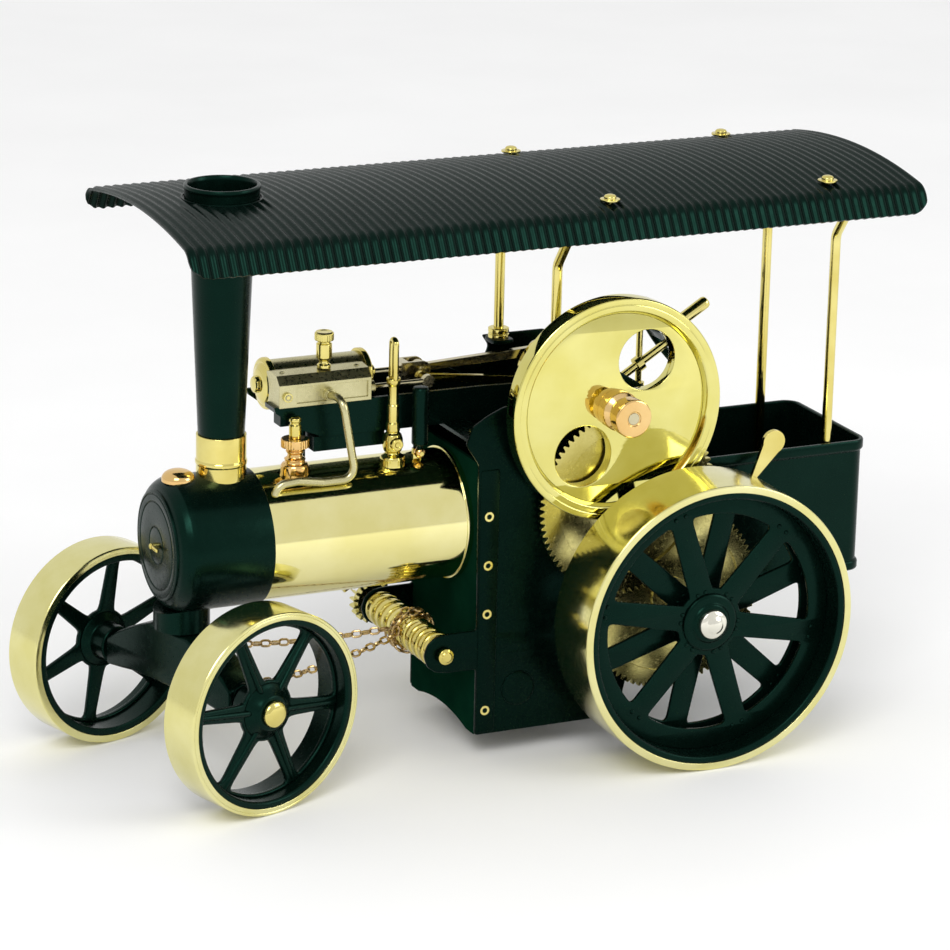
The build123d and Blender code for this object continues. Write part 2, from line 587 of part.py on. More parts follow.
# The sprung stem stands in the valve's bore; its collar stops on the knurled top.
with BuildPart() as safety_stem:
    with BuildSketch(Plane.XZ.offset(-VALVE_SIDE)):
        with BuildLine():
            Polyline(
                (fwd(VALVE_X), 106), (fwd(VALVE_X) + STEM_R - RUN, 106),
                (fwd(VALVE_X) + STEM_R - RUN, 115.45),
                (fwd(VALVE_X) + 2.1, 115.45), (fwd(VALVE_X) + 2.1, 120), (fwd(VALVE_X) + 1.7, 120.4),
                (fwd(VALVE_X) + 1.7, 121.2), (fwd(VALVE_X) + 2.1, 121.6), (fwd(VALVE_X) + 1.8, 122.8),
                (fwd(VALVE_X), 123.2), (fwd(VALVE_X), 106),
            )
        make_face()
    revolve(axis=Axis((fwd(VALVE_X), VALVE_SIDE, 0), (0, 0, 1)))
safety_stem.part.label = "safety_stem"
export_step(safety_stem.part, "parts/safety_stem.step")

WHISTLE_X, WHISTLE_Y = 96.0, 5.5
HAIRPIN_R, HAIRPIN_TUBE_R = 1.4, 1.15
with BuildPart() as whistle:
    with BuildSketch(Plane.XZ.offset(-WHISTLE_Y)):
        with BuildLine():
            Polyline(
                (fwd(WHISTLE_X), 101), (fwd(WHISTLE_X) + 4.3, 101), (fwd(WHISTLE_X) + 4.3, 106.2),
                (fwd(WHISTLE_X) + 2.6, 107), (fwd(WHISTLE_X) + 3.5, 109), (fwd(WHISTLE_X) + 3.5, 112.4),
                (fwd(WHISTLE_X) + 2.5, 114.4), (fwd(WHISTLE_X) + 2.5, 117.6), (fwd(WHISTLE_X) + 2.1, 118),
                (fwd(WHISTLE_X) + 2.1, 124), (fwd(WHISTLE_X) + 1.8, 124.4), (fwd(WHISTLE_X) + 1.8, 130.6),
                (fwd(WHISTLE_X) + 2.5, 131.6), (fwd(WHISTLE_X) + 2.5, 133.4), (fwd(WHISTLE_X), 133.4),
                (fwd(WHISTLE_X), 101),
            )
        make_face()
    revolve(axis=Axis((fwd(WHISTLE_X), WHISTLE_Y, 0), (0, 0, 1)))
    # Its upper tube turns back down on itself.
    for leg in (-1, 1):
        with Locations((fwd(WHISTLE_X), WHISTLE_Y + leg * HAIRPIN_R, (132.6 + 145.0) / 2)):
            Cylinder(HAIRPIN_TUBE_R, 145.0 - 132.6)
    with BuildSketch(Plane.XY.offset(145.0)):
        with Locations((fwd(WHISTLE_X), WHISTLE_Y + HAIRPIN_R)):
            Circle(HAIRPIN_TUBE_R)
    revolve(axis=Axis((fwd(WHISTLE_X), WHISTLE_Y, 145.0), (1, 0, 0)), revolution_arc=180)
    with Locations((fwd(WHISTLE_X), WHISTLE_Y + 3.4, 110.6)):
        Cylinder(2.2, 2.4, rotation=(90, 0, 0))
    with Locations((fwd(WHISTLE_X), 0, BOILER_Z)):
        Cylinder(BOILER_R, 20, rotation=(0, 90, 0), mode=Mode.SUBTRACT)
whistle.part.label = "whistle"
export_step(whistle.part, "parts/whistle.step")

LEVER_X, LEVER_Y, LEVER_Z = 86.5, 7.0, 106.2
with BuildPart() as regulator_lever:
    with BuildSketch(Plane.XZ.offset(-LEVER_Y)):
        with BuildLine():
            Polyline(
                (fwd(LEVER_X), LEVER_Z), (fwd(LEVER_X) + 1.0, LEVER_Z), (fwd(LEVER_X) + 1.0, 109),
                (fwd(LEVER_X) + 2.9, 109), (fwd(LEVER_X) + 2.9, 129), (fwd(LEVER_X) + 2.3, 129.7),
                (fwd(LEVER_X), 129.7), (fwd(LEVER_X), LEVER_Z),
            )
        make_face()
    revolve(axis=Axis((fwd(LEVER_X), LEVER_Y, 0), (0, 0, 1)))
    with Locations((fwd(LEVER_X), LEVER_Y, LEVER_Z)):
        Cylinder(1.9, 3.2, rotation=(90, 0, 0))
        Cylinder(0.8 + RUN, 8, rotation=(90, 0, 0), mode=Mode.SUBTRACT)
regulator_lever.part.label = "regulator_lever"
export_step(regulator_lever.part, "parts/regulator_lever.step")

# ================================================================ crank, flywheel and gears
SHAFT_END = 51.3
with BuildPart() as crankshaft:
    with Locations((fwd(CRANK), (-10 + SHAFT_END) / 2, CRANK_Z)):
        Cylinder(2.0, SHAFT_END + 10, rotation=(90, 0, 0))
crankshaft.part.label = "crankshaft"
export_step(crankshaft.part, "parts/crankshaft.step")

# The disc carries the crank pin on its far face and the valve eccentric on its near face.
with BuildPart() as crank_disc:
    with Locations((fwd(CRANK), -11.25, CRANK_Z)):
        Cylinder(13.5, 2.5, rotation=(90, 0, 0))
    with Locations((fwd(PIN), -13.0, PIN_Z)):
        Cylinder(1.5, 1.0, rotation=(90, 0, 0))
    with Locations((fwd(CRANK) + 1.4, -3.8, CRANK_Z - 1.7)):
        Cylinder(5.5, 3.6, rotation=(90, 0, 0))
    with Locations((fwd(CRANK), -3.0, CRANK_Z)):
        Cylinder(2.0, 14.0, rotation=(90, 0, 0), mode=Mode.SUBTRACT)
crank_disc.part.label = "crank_disc"
export_step(crank_disc.part, "parts/crank_disc.step")

with BuildPart() as crank_pinion:
    with BuildSketch(Plane.XZ.offset(-LAY_GEAR_Y[1])):
        with Locations((fwd(CRANK), CRANK_Z)):
            with BuildLine(mode=Mode.PRIVATE) as pinion_edge:
                Polyline(gear_outline(CRANK_TEETH, LAY_TO_CRANK + 180, False, 0.04), close=True)
            add(make_face(pinion_edge.edges(), mode=Mode.PRIVATE))
            Circle(2.0, mode=Mode.SUBTRACT)
    extrude(amount=LAY_GEAR_Y[1] - LAY_GEAR_Y[0])
crank_pinion.part.label = "crank_pinion"
export_step(crank_pinion.part, "parts/crank_pinion.step")

FLYWHEEL_HOLES = 19.6
with BuildPart() as flywheel:
    with BuildSketch(Plane.XY.offset(CRANK_Z)):
        with BuildLine():
            Polyline(
                (fwd(CRANK) + 2.0, FLYWHEEL_Y[0]), (fwd(CRANK) + FLYWHEEL_R, FLYWHEEL_Y[0]),
                (fwd(CRANK) + FLYWHEEL_R, FLYWHEEL_Y[1]), (fwd(CRANK) + 35.0, FLYWHEEL_Y[1]),
                (fwd(CRANK) + 33.3, FLYWHEEL_Y[1] - 2.2), (fwd(CRANK) + 2.0, FLYWHEEL_Y[1] - 2.2),
                (fwd(CRANK) + 2.0, FLYWHEEL_Y[0]),
            )
        make_face()
    revolve(axis=cross_axis(CRANK, CRANK_Z))
    with BuildSketch(Plane.XZ.offset(-FLYWHEEL_Y[1])):
        for angle in (125, -53):
            hole_x = fwd(CRANK) + FLYWHEEL_HOLES * cos(radians(angle))
            with Locations((hole_x, CRANK_Z + FLYWHEEL_HOLES * sin(radians(angle)))):
                Circle(10.6)
    extrude(amount=FLYWHEEL_Y[1] - FLYWHEEL_Y[0], mode=Mode.SUBTRACT)
flywheel.part.label = "flywheel"
export_step(flywheel.part, "parts/flywheel.step")

with BuildPart() as belt_pulley:
    with BuildSketch(Plane.XY.offset(CRANK_Z)):
        with BuildLine():
            Polyline(
                (fwd(CRANK) + 2.0, 37.8), (fwd(CRANK) + 6.9, 37.8), (fwd(CRANK) + 6.9, 42.2),
                (fwd(CRANK) + 5.2, 43.9), (fwd(CRANK) + 5.2, 45.3), (fwd(CRANK) + 6.7, 46.6),
                (fwd(CRANK) + 6.7, 51.1), (fwd(CRANK) + 6.2, 51.6), (fwd(CRANK) + 2.0, 51.6),
                (fwd(CRANK) + 2.0, 37.8),
            )
        make_face()
    revolve(axis=cross_axis(CRANK, CRANK_Z))
belt_pulley.part.label = "belt_pulley"
export_step(belt_pulley.part, "parts/belt_pulley.step")

with BuildPart() as lay_gear:
    with BuildSketch(Plane.XZ.offset(-LAY_GEAR_Y[1])):
        with Locations((fwd(LAY), LAY_Z)):
            with BuildLine(mode=Mode.PRIVATE) as lay_edge:
                Polyline(gear_outline(LAY_TEETH, LAY_TO_CRANK, True), close=True)
            add(make_face(lay_edge.edges(), mode=Mode.PRIVATE))
    extrude(amount=LAY_GEAR_Y[1] - LAY_GEAR_Y[0])
    with BuildSketch(Plane.XZ.offset(-LAY_GEAR_Y[1])):
        with Locations((fwd(LAY), LAY_Z)):
            Circle(26.0)
            Circle(6.0, mode=Mode.SUBTRACT)
    extrude(amount=0.8, mode=Mode.SUBTRACT)
    with BuildSketch(Plane.XZ.offset(-FINAL_GEAR_Y[1] - 0.4)):
        with Locations((fwd(LAY), LAY_Z)):
            with BuildLine(mode=Mode.PRIVATE) as small_edge:
                Polyline(gear_outline(LAY_PINION_TEETH, LAY_TO_AXLE, True), close=True)
            add(make_face(small_edge.edges(), mode=Mode.PRIVATE))
    extrude(amount=FINAL_GEAR_Y[1] - FINAL_GEAR_Y[0] + 0.4)
    with Locations((fwd(LAY), (24.4 + FINAL_GEAR_Y[0]) / 2, LAY_Z)):
        Cylinder(1.5 - RUN, FINAL_GEAR_Y[0] - 24.4, rotation=(90, 0, 0))
    with Locations((fwd(LAY), 25.0, LAY_Z)):
        Cylinder(2.6, 1.2, rotation=(90, 0, 0))
lay_gear.part.label = "lay_gear"
export_step(lay_gear.part, "parts/lay_gear.step")

AXLE_R = 2.4
with BuildPart() as drive_gear:
    with BuildSketch(Plane.XZ.offset(-FINAL_GEAR_Y[1])):
        with Locations((fwd(0), REAR_R)):
            with BuildLine(mode=Mode.PRIVATE) as drive_edge:
                Polyline(gear_outline(AXLE_TEETH, LAY_TO_AXLE + 180, False), close=True)
            add(make_face(drive_edge.edges(), mode=Mode.PRIVATE))
            Circle(AXLE_R, mode=Mode.SUBTRACT)
    extrude(amount=FINAL_GEAR_Y[1] - FINAL_GEAR_Y[0])
    with BuildSketch(Plane.XZ.offset(-FINAL_GEAR_Y[1])):
        with Locations((fwd(0), REAR_R)):
            Circle(27.0)
            Circle(7.0, mode=Mode.SUBTRACT)
    extrude(amount=0.8, mode=Mode.SUBTRACT)
drive_gear.part.label = "drive_gear"
export_step(drive_gear.part, "parts/drive_gear.step")

with BuildPart() as rear_axle:
    with Locations((fwd(0), 0, REAR_R)):
        Cylinder(AXLE_R, 2 * 61.0, rotation=(90, 0, 0))
    # Spacers keep the wheels off the side plates.
    for y in (-35.0, 36.2):
        length = 13.8 if y < 0 else 12.0
        with Locations((fwd(0), y, REAR_R)):
            Cylinder(3.6, length, rotation=(90, 0, 0))
rear_axle.part.label = "rear_axle"
export_step(rear_axle.part, "parts/rear_axle.step")

# ================================================================ wheels
def spokes(count, first_angle, inner, outer, half_inner, half_outer):
    """Corners of tapered spokes about a wheel's centre, one list for each spoke."""
    found = []
    for number in range(count):
        turn = radians(first_angle + 360 / count * number)
        along_spoke = ((inner, -half_inner), (outer, -half_outer), (outer, half_outer), (inner, half_inner))
        found.append([(a * cos(turn) - b * sin(turn), a * sin(turn) + b * cos(turn)) for a, b in along_spoke])
    return found


REAR_INNER_Y = REAR_OUTER_Y - REAR_TYRE_W
REAR_TYRE_IN = REAR_R - TYRE_T
for side, sign in (("left", 1), ("right", -1)):
    with BuildPart() as rear_wheel:
        with BuildSketch(Plane.XZ.offset(-sign * REAR_OUTER_Y)):
            with Locations((fwd(0), REAR_R)):
                Circle(REAR_TYRE_IN)
                Circle(REAR_TYRE_IN - 2.4, mode=Mode.SUBTRACT)
        extrude(amount=sign * REAR_TYRE_W)
        # Two layers of six spokes, half a step apart.
        for depth, first in ((8.5, 12), (14.5, 42)):
            with BuildSketch(Plane.XZ.offset(-sign * (REAR_OUTER_Y - depth))):
                with Locations((fwd(0), REAR_R)):
                    Circle(REAR_TYRE_IN - 2.3)
                    Circle(38.8, mode=Mode.SUBTRACT)
                    Circle(10.2)
                    for corners in spokes(6, first, 8, 40, 4.4, 4.0):
                        with BuildLine(mode=Mode.PRIVATE) as spoke_edge:
                            Polyline(corners, close=True)
                        add(make_face(spoke_edge.edges(), mode=Mode.PRIVATE))
                    Circle(AXLE_R, mode=Mode.SUBTRACT)
            extrude(amount=sign * 1.4)
        hub_length = REAR_TYRE_W - 8.5
        with Locations((fwd(0), sign * (REAR_INNER_Y + hub_length / 2), REAR_R)):
            Cylinder(8.0, hub_length, rotation=(90, 0, 0))
            Cylinder(AXLE_R, hub_length + 2, rotation=(90, 0, 0), mode=Mode.SUBTRACT)
    rear_wheel.part.label = f"rear_wheel_{side}"
    export_step(rear_wheel.part, f"parts/rear_wheel_{side}.step")

    with BuildPart() as rear_tyre:
        with BuildSketch(Plane.XZ.offset(-sign * REAR_OUTER_Y)):
            with Locations((fwd(0), REAR_R)):
                Circle(REAR_R)
                Circle(REAR_TYRE_IN, mode=Mode.SUBTRACT)
        extrude(amount=sign * REAR_TYRE_W)
    rear_tyre.part.label = f"rear_tyre_{side}"
    export_step(rear_tyre.part, f"parts/rear_tyre_{side}.step")

with BuildPart() as rear_hub_caps:
    for sign in (1, -1):
        with Locations((fwd(0), sign * (61.0 + 0.6), REAR_R)):
            Cylinder(5.3, 1.2, rotation=(90, 0, 0))
        with Locations((fwd(0), sign * (61.0 + 1.8), REAR_R)):
            Cylinder(3.6, 1.2, rotation=(90, 0, 0))
        with BuildSketch(Plane.XZ.offset(-sign * 61.0)):
            with Locations((fwd(0), REAR_R)):
                Circle(5.3)
                Circle(AXLE_R, mode=Mode.SUBTRACT)
        extrude(amount=sign * (61.0 - REAR_OUTER_Y + 8.5))
rear_hub_caps.part.label = "rear_hub_caps"
export_step(rear_hub_caps.part, "parts/rear_hub_caps.step")

# ---------------------------------------------------------------- front axle
BEAM_HALF_W, BEAM_THICK, BEAM_TOP = 34.5, 13.0, 51.6
with BuildPart() as front_pedestal:
    with Locations((fwd(KING_PIN), 0, (BEAM_TOP + 0.4 + BOILER_Z) / 2)):
        Cylinder(9.6, BOILER_Z - BEAM_TOP - 0.4)
    with Locations((fwd(KING_PIN), 0, (33 + 53) / 2)):
        Cylinder(2.2, 53 - 33)
    with Locations((fwd(KING_PIN), 0, BOILER_Z)):
        Cylinder(SMOKEBOX_R, 60, rotation=(0, 90, 0), mode=Mode.SUBTRACT)
front_pedestal.part.label = "front_pedestal"
export_step(front_pedestal.part, "parts/front_pedestal.step")

ANCHOR_Y, ANCHOR_Z = 27.0, 37.0
anchors = [axle_frame.from_local_coords((-BEAM_THICK / 2 - 1.1, sign * ANCHOR_Y, 0)) for sign in (1, -1)]
PIN_ROD_R = 1.6
beam_corners = [(11, BEAM_TOP - FRONT_R), (22, 11.8), (BEAM_HALF_W, 4.6), (BEAM_HALF_W, -5.2), (18, -3.2)]
beam_corners += [(-y, height) for y, height in reversed(beam_corners)]
with BuildPart() as front_axle_beam:
    # An arched beam: its middle rises to the smokebox's pad.
    rear_face = axle_frame.from_local_coords((-BEAM_THICK / 2, 0, 0))
    with BuildSketch(Plane(origin=rear_face, x_dir=axle_line.direction, z_dir=(cos(steer), sin(steer), 0))):
        with BuildLine():
            Polyline(beam_corners, close=True)
        make_face()
        fillet(vertices().sort_by(Axis.Z)[-4:], radius=4.0)
    extrude(amount=BEAM_THICK)
    with BuildSketch(axle_facing(-BEAM_HALF_W)):
        Circle(PIN_ROD_R)
    extrude(amount=2 * BEAM_HALF_W, mode=Mode.SUBTRACT)
    with Locations((fwd(KING_PIN), 0, FRONT_R + 5)):
        Cylinder(2.2 + RUN, 40, mode=Mode.SUBTRACT)
    # Pins behind it for the ends of the steering chain.
    for place in anchors:
        with Locations((place.X, place.Y, ANCHOR_Z)):
            Cylinder(1.6, 6.0)
front_axle_beam.part.label = "front_axle_beam"
export_step(front_axle_beam.part, "parts/front_axle_beam.step")

# The wheels turn on two stub pins, which are pressed into the beam's ends.
with BuildPart() as front_axle_pins:
    for sign in (1, -1):
        with BuildSketch(axle_facing(sign * (BEAM_HALF_W - 14))):
            Circle(PIN_ROD_R)
        extrude(amount=sign * (FRONT_OUTER_Y - 1.4 - BEAM_HALF_W + 14))
        with BuildSketch(axle_facing(sign * (FRONT_OUTER_Y - 1.4))):
            Circle(4.7)
        extrude(amount=sign * 1.2)
        with BuildSketch(axle_facing(sign * (FRONT_OUTER_Y - 0.2))):
            Circle(3.6)
        extrude(amount=sign * 1.0)
front_axle_pins.part.label = "front_axle_pins"
export_step(front_axle_pins.part, "parts/front_axle_pins.step")

FRONT_TYRE_IN = FRONT_R - TYRE_T
for side, sign, first in (("left", 1, 37), ("right", -1, 11)):
    with BuildPart() as front_wheel:
        with BuildSketch(axle_facing(sign * FRONT_OUTER_Y)):
            Circle(FRONT_TYRE_IN)
            Circle(FRONT_TYRE_IN - 2.4, mode=Mode.SUBTRACT)
        extrude(amount=-sign * FRONT_TYRE_W)
        with BuildSketch(axle_facing(sign * (FRONT_OUTER_Y - 5.0))):
            Circle(FRONT_TYRE_IN - 2.3)
            Circle(FRONT_TYRE_IN - 5.2, mode=Mode.SUBTRACT)
            Circle(9.6)
            for corners in spokes(6, first + 90, 6, FRONT_TYRE_IN - 4, 3.1, 2.1):
                with BuildLine(mode=Mode.PRIVATE) as spoke_edge:
                    Polyline(corners, close=True)
                add(make_face(spoke_edge.edges(), mode=Mode.PRIVATE))
        extrude(amount=-sign * 2.0)
        with BuildSketch(axle_facing(sign * (FRONT_OUTER_Y - 1.6))):
            Circle(6.6)
        extrude(amount=-sign * (FRONT_TYRE_W - 1.8))
        with BuildSketch(axle_facing(sign * FRONT_OUTER_Y)):
            Circle(PIN_ROD_R + RUN)
        extrude(amount=-sign * FRONT_TYRE_W, mode=Mode.SUBTRACT)
    front_wheel.part.label = f"front_wheel_{side}"
    export_step(front_wheel.part, f"parts/front_wheel_{side}.step")

    with BuildPart() as front_tyre:
        with BuildSketch(axle_facing(sign * FRONT_OUTER_Y)):
            Circle(FRONT_R)
            Circle(FRONT_TYRE_IN, mode=Mode.SUBTRACT)
        extrude(amount=-sign * FRONT_TYRE_W)
    front_tyre.part.label = f"front_tyre_{side}"
    export_step(front_tyre.part, f"parts/front_tyre_{side}.step")

# ================================================================ steering
column_direction = (cos(radians(COLUMN_TILT)), 0, -sin(radians(COLUMN_TILT)))
column_top = Plane(
    origin=(fwd(STEERING_WHEEL), COLUMN_Y, STEERING_WHEEL_Z), x_dir=(0, 1, 0), z_dir=column_direction
)

with BuildPart() as chain_drum:
    with Locations((fwd(DRUM), 0, DRUM_Z)):
        Cylinder(DRUM_R, 2 * (INNER_HALF_W - 0.6), rotation=(90, 0, 0))
    for rib in range(-4, 5):
        with Locations((fwd(DRUM), rib * 5.2, DRUM_Z)):
            Cylinder(DRUM_R + 0.6, 1.2, rotation=(90, 0, 0))
    with Locations((fwd(DRUM), (31 - 36) / 2, DRUM_Z)):
        Cylinder(1.6, 67.0, rotation=(90, 0, 0))
    with Locations((fwd(DRUM), 29.5, DRUM_Z)):
        Cylinder(2.8, 2.0, rotation=(90, 0, 0))
chain_drum.part.label = "chain_drum"
export_step(chain_drum.part, "parts/chain_drum.step")

with BuildPart() as drum_wheel:
    with BuildSketch(Plane.XZ.offset(35.4)):
        with Locations((fwd(DRUM), DRUM_Z)):
            with BuildLine(mode=Mode.PRIVATE) as drum_edge:
                Polyline(gear_outline(DRUM_TEETH, 60, False), close=True)
            add(make_face(drum_edge.edges(), mode=Mode.PRIVATE))
            Circle(1.6, mode=Mode.SUBTRACT)
    extrude(amount=-3.8)
drum_wheel.part.label = "drum_wheel"
export_step(drum_wheel.part, "parts/drum_wheel.step")

with BuildPart() as steering_column:
    with BuildSketch(column_top):
        Circle(1.5)
    extrude(amount=WORM_AT + 7)
    with BuildSketch(column_top.offset(WORM_AT - 4.5)):
        Circle(WORM_R)
    extrude(amount=9)
steering_column.part.label = "steering_column"
export_step(steering_column.part, "parts/steering_column.step")

POST_AT = 14.9
with BuildPart() as column_bearings:
    for place, length, outside in ((POST_AT - 1.3, 2.6, 2.9), (WORM_AT - 24, 5.0, 4.0)):
        with BuildSketch(column_top.offset(place)):
            Circle(outside)
        extrude(amount=length)
    # A slim post in a socket holds the upper bearing.
    post_x = STEERING_WHEEL + POST_AT * cos(radians(COLUMN_TILT))
    with Locations((fwd(post_x), COLUMN_Y, (94.7 + 110.0) / 2)):
        Cylinder(2.2, 110.0 - 94.7)
    with Locations((fwd(post_x), COLUMN_Y, (109.0 + 133.0) / 2)):
        Cylinder(1.2, 133.0 - 109.0)
    with Locations((fwd(post_x), COLUMN_Y + 1.95, 94.9)):
        Box(6.0, 7.9, 1.6)
    with Locations(column_top.offset(WORM_AT - 21.5) * Location((2.95, 0, 0))):
        Box(5.8, 5.0, 5.0)
    with BuildSketch(column_top):
        Circle(1.5 + RUN)
    extrude(amount=WORM_AT, mode=Mode.SUBTRACT)
column_bearings.part.label = "column_bearings"
export_step(column_bearings.part, "parts/column_bearings.step")

with BuildPart() as steering_wheel:
    with BuildSketch(column_top.offset(-1.0)):
        Circle(STEERING_WHEEL_R)
        Circle(STEERING_WHEEL_R - 3.2, mode=Mode.SUBTRACT)
        Circle(4.4)
        for corners in spokes(5, 39, 2.6, STEERING_WHEEL_R - 1.4, 2.2, 1.8):
            with BuildLine(mode=Mode.PRIVATE) as spoke_edge:
                Polyline(corners, close=True)
            add(make_face(spoke_edge.edges(), mode=Mode.PRIVATE))
        Circle(1.5, mode=Mode.SUBTRACT)
    extrude(amount=2.0)
steering_wheel.part.label = "steering_wheel"
export_step(steering_wheel.part, "parts/steering_wheel.step")

HANDLE_AT = 39.0
with BuildPart() as steering_handle:
    with BuildSketch(column_top.offset(-1.0)):
        with PolarLocations(STEERING_WHEEL_R - 1.2, 1, start_angle=HANDLE_AT):
            Circle(2.3)
    extrude(amount=-14)
steering_handle.part.label = "steering_handle"
export_step(steering_handle.part, "parts/steering_handle.step")

# The chain's two ends run from the front of the drum to the pins behind the front axle.
CHAIN_PITCH_R = DRUM_R + 1.8
chain_ends = (
    ((fwd(DRUM) + CHAIN_PITCH_R, 3.6, DRUM_Z + 0.2), anchors[0]),
    ((fwd(DRUM) + CHAIN_PITCH_R, -2.4, DRUM_Z + 0.6), anchors[1]),
)
with BuildPart() as steering_chain:
    for start, place in chain_ends:
        finish = (place.X, place.Y, ANCHOR_Z)
        gap = 1.65
        length = hypot(finish[0] - start[0], finish[1] - start[1], finish[2] - start[2]) - gap
        run = Plane(origin=start, z_dir=tuple(b - a for a, b in zip(start, finish)))
        with BuildSketch(run):
            Circle(0.9)
        extrude(amount=length)
steering_chain.part.label = "steering_chain"
export_step(steering_chain.part, "parts/steering_chain.step")

# ================================================================ engine motion
with BuildPart() as piston_rod:
    with Locations((fwd(122), CYL_Y, CYL_Z)):
        Cylinder(6.0 - RUN, 7, rotation=(0, 90, 0))
    with Locations((fwd((84 + 122) / 2), CYL_Y, CYL_Z)):
        Cylinder(1.3, 122 - 84, rotation=(0, 90, 0))
    with Locations((fwd(84), CYL_Y, CYL_Z)):
        Box(3.0, 7.2, 6.4)
    for y in (CYL_Y - 3.1, CYL_Y + 3.1):
        with Locations((fwd(GUDGEON), y, CYL_Z)):
            Cylinder(3.2, 1.0, rotation=(90, 0, 0))
        with Locations((fwd(GUDGEON + 3), y, CYL_Z)):
            Box(6.0, 1.0, 6.4)
    with Locations((fwd(GUDGEON), CYL_Y, CYL_Z)):
        Cylinder(1.2, 8.6, rotation=(90, 0, 0))
piston_rod.part.label = "piston_rod"
export_step(piston_rod.part, "parts/piston_rod.step")

with BuildPart() as connecting_rod:
    with BuildSketch(Plane.XZ.offset(-CYL_Y - 1.2)):
        with Locations((fwd(GUDGEON), CYL_Z)):
            Circle(2.7)
        with Locations((fwd(PIN), PIN_Z)):
            Circle(3.4)
        with BuildLine():
            Polyline(
                (fwd(GUDGEON), CYL_Z + 1.3), (fwd(PIN), PIN_Z + 1.6), (fwd(PIN), PIN_Z - 1.6),
                (fwd(GUDGEON), CYL_Z - 1.3), (fwd(GUDGEON), CYL_Z + 1.3),
            )
        make_face()
        with Locations((fwd(GUDGEON), CYL_Z)):
            Circle(1.2 + RUN, mode=Mode.SUBTRACT)
        with Locations((fwd(PIN), PIN_Z)):
            Circle(1.6, mode=Mode.SUBTRACT)
    extrude(amount=2.4)
connecting_rod.part.label = "connecting_rod"
export_step(connecting_rod.part, "parts/connecting_rod.step")

VALVE_PIN = 80.0
with BuildPart() as valve_rod:
    with Locations((fwd((VALVE_PIN + 118) / 2), VALVE_Y, VALVE_Z)):
        Cylinder(1.0, 118 - VALVE_PIN, rotation=(0, 90, 0))
    with Locations((fwd(VALVE_PIN), VALVE_Y, VALVE_Z)):
        Cylinder(2.2, 2.0, rotation=(90, 0, 0))
    with Locations((fwd(VALVE_PIN), VALVE_Y - 3.2, VALVE_Z)):
        Cylinder(0.9, 5.6, rotation=(90, 0, 0))
valve_rod.part.label = "valve_rod"
export_step(valve_rod.part, "parts/valve_rod.step")

with BuildPart() as eccentric_rod:
    with BuildSketch(Plane.XZ.offset(6.0)):
        with BuildLine():
            Polyline(
                (fwd(VALVE_PIN), VALVE_Z + 1.2), (fwd(CRANK) + 6, CRANK_Z + 0.2),
                (fwd(CRANK) + 6, CRANK_Z - 2.8),
                (fwd(VALVE_PIN), VALVE_Z - 1.2), (fwd(VALVE_PIN), VALVE_Z + 1.2),
            )
        make_face()
        with Locations((fwd(VALVE_PIN), VALVE_Z)):
            Circle(2.2)
            Circle(0.9 + RUN, mode=Mode.SUBTRACT)
        with Locations((fwd(CRANK) + 1.4, CRANK_Z - 1.7)):
            Circle(7.4)
            Circle(5.8, mode=Mode.SUBTRACT)
    extrude(amount=2.0)
eccentric_rod.part.label = "eccentric_rod"
export_step(eccentric_rod.part, "parts/eccentric_rod.step")

# ---------------------------------------------------------------- small parts
LEVER_PIVOT, LEVER_PIVOT_Z = -24.0, 85.0
with BuildPart() as gear_lever:
    with BuildSketch(Plane.XZ.offset(-34.6)):
        # A narrow stem that widens into a spoon-shaped blade.
        with BuildLine():
            Polyline(
                (fwd(-22.8), 84.2), (fwd(-28.0), 93.4), (fwd(-32.9), 106.7), (fwd(-39.4), 102.3),
                (fwd(-30.0), 92.6), (fwd(-25.2), 84.2), close=True,
            )
        make_face()
        with Locations((fwd(-36.1), 104.6)):
            Circle(4.2)
        with Locations((fwd(LEVER_PIVOT), LEVER_PIVOT_Z)):
            Circle(2.6)
            Circle(1.3 + RUN, mode=Mode.SUBTRACT)
    extrude(amount=1.4)
gear_lever.part.label = "gear_lever"
export_step(gear_lever.part, "parts/gear_lever.step")

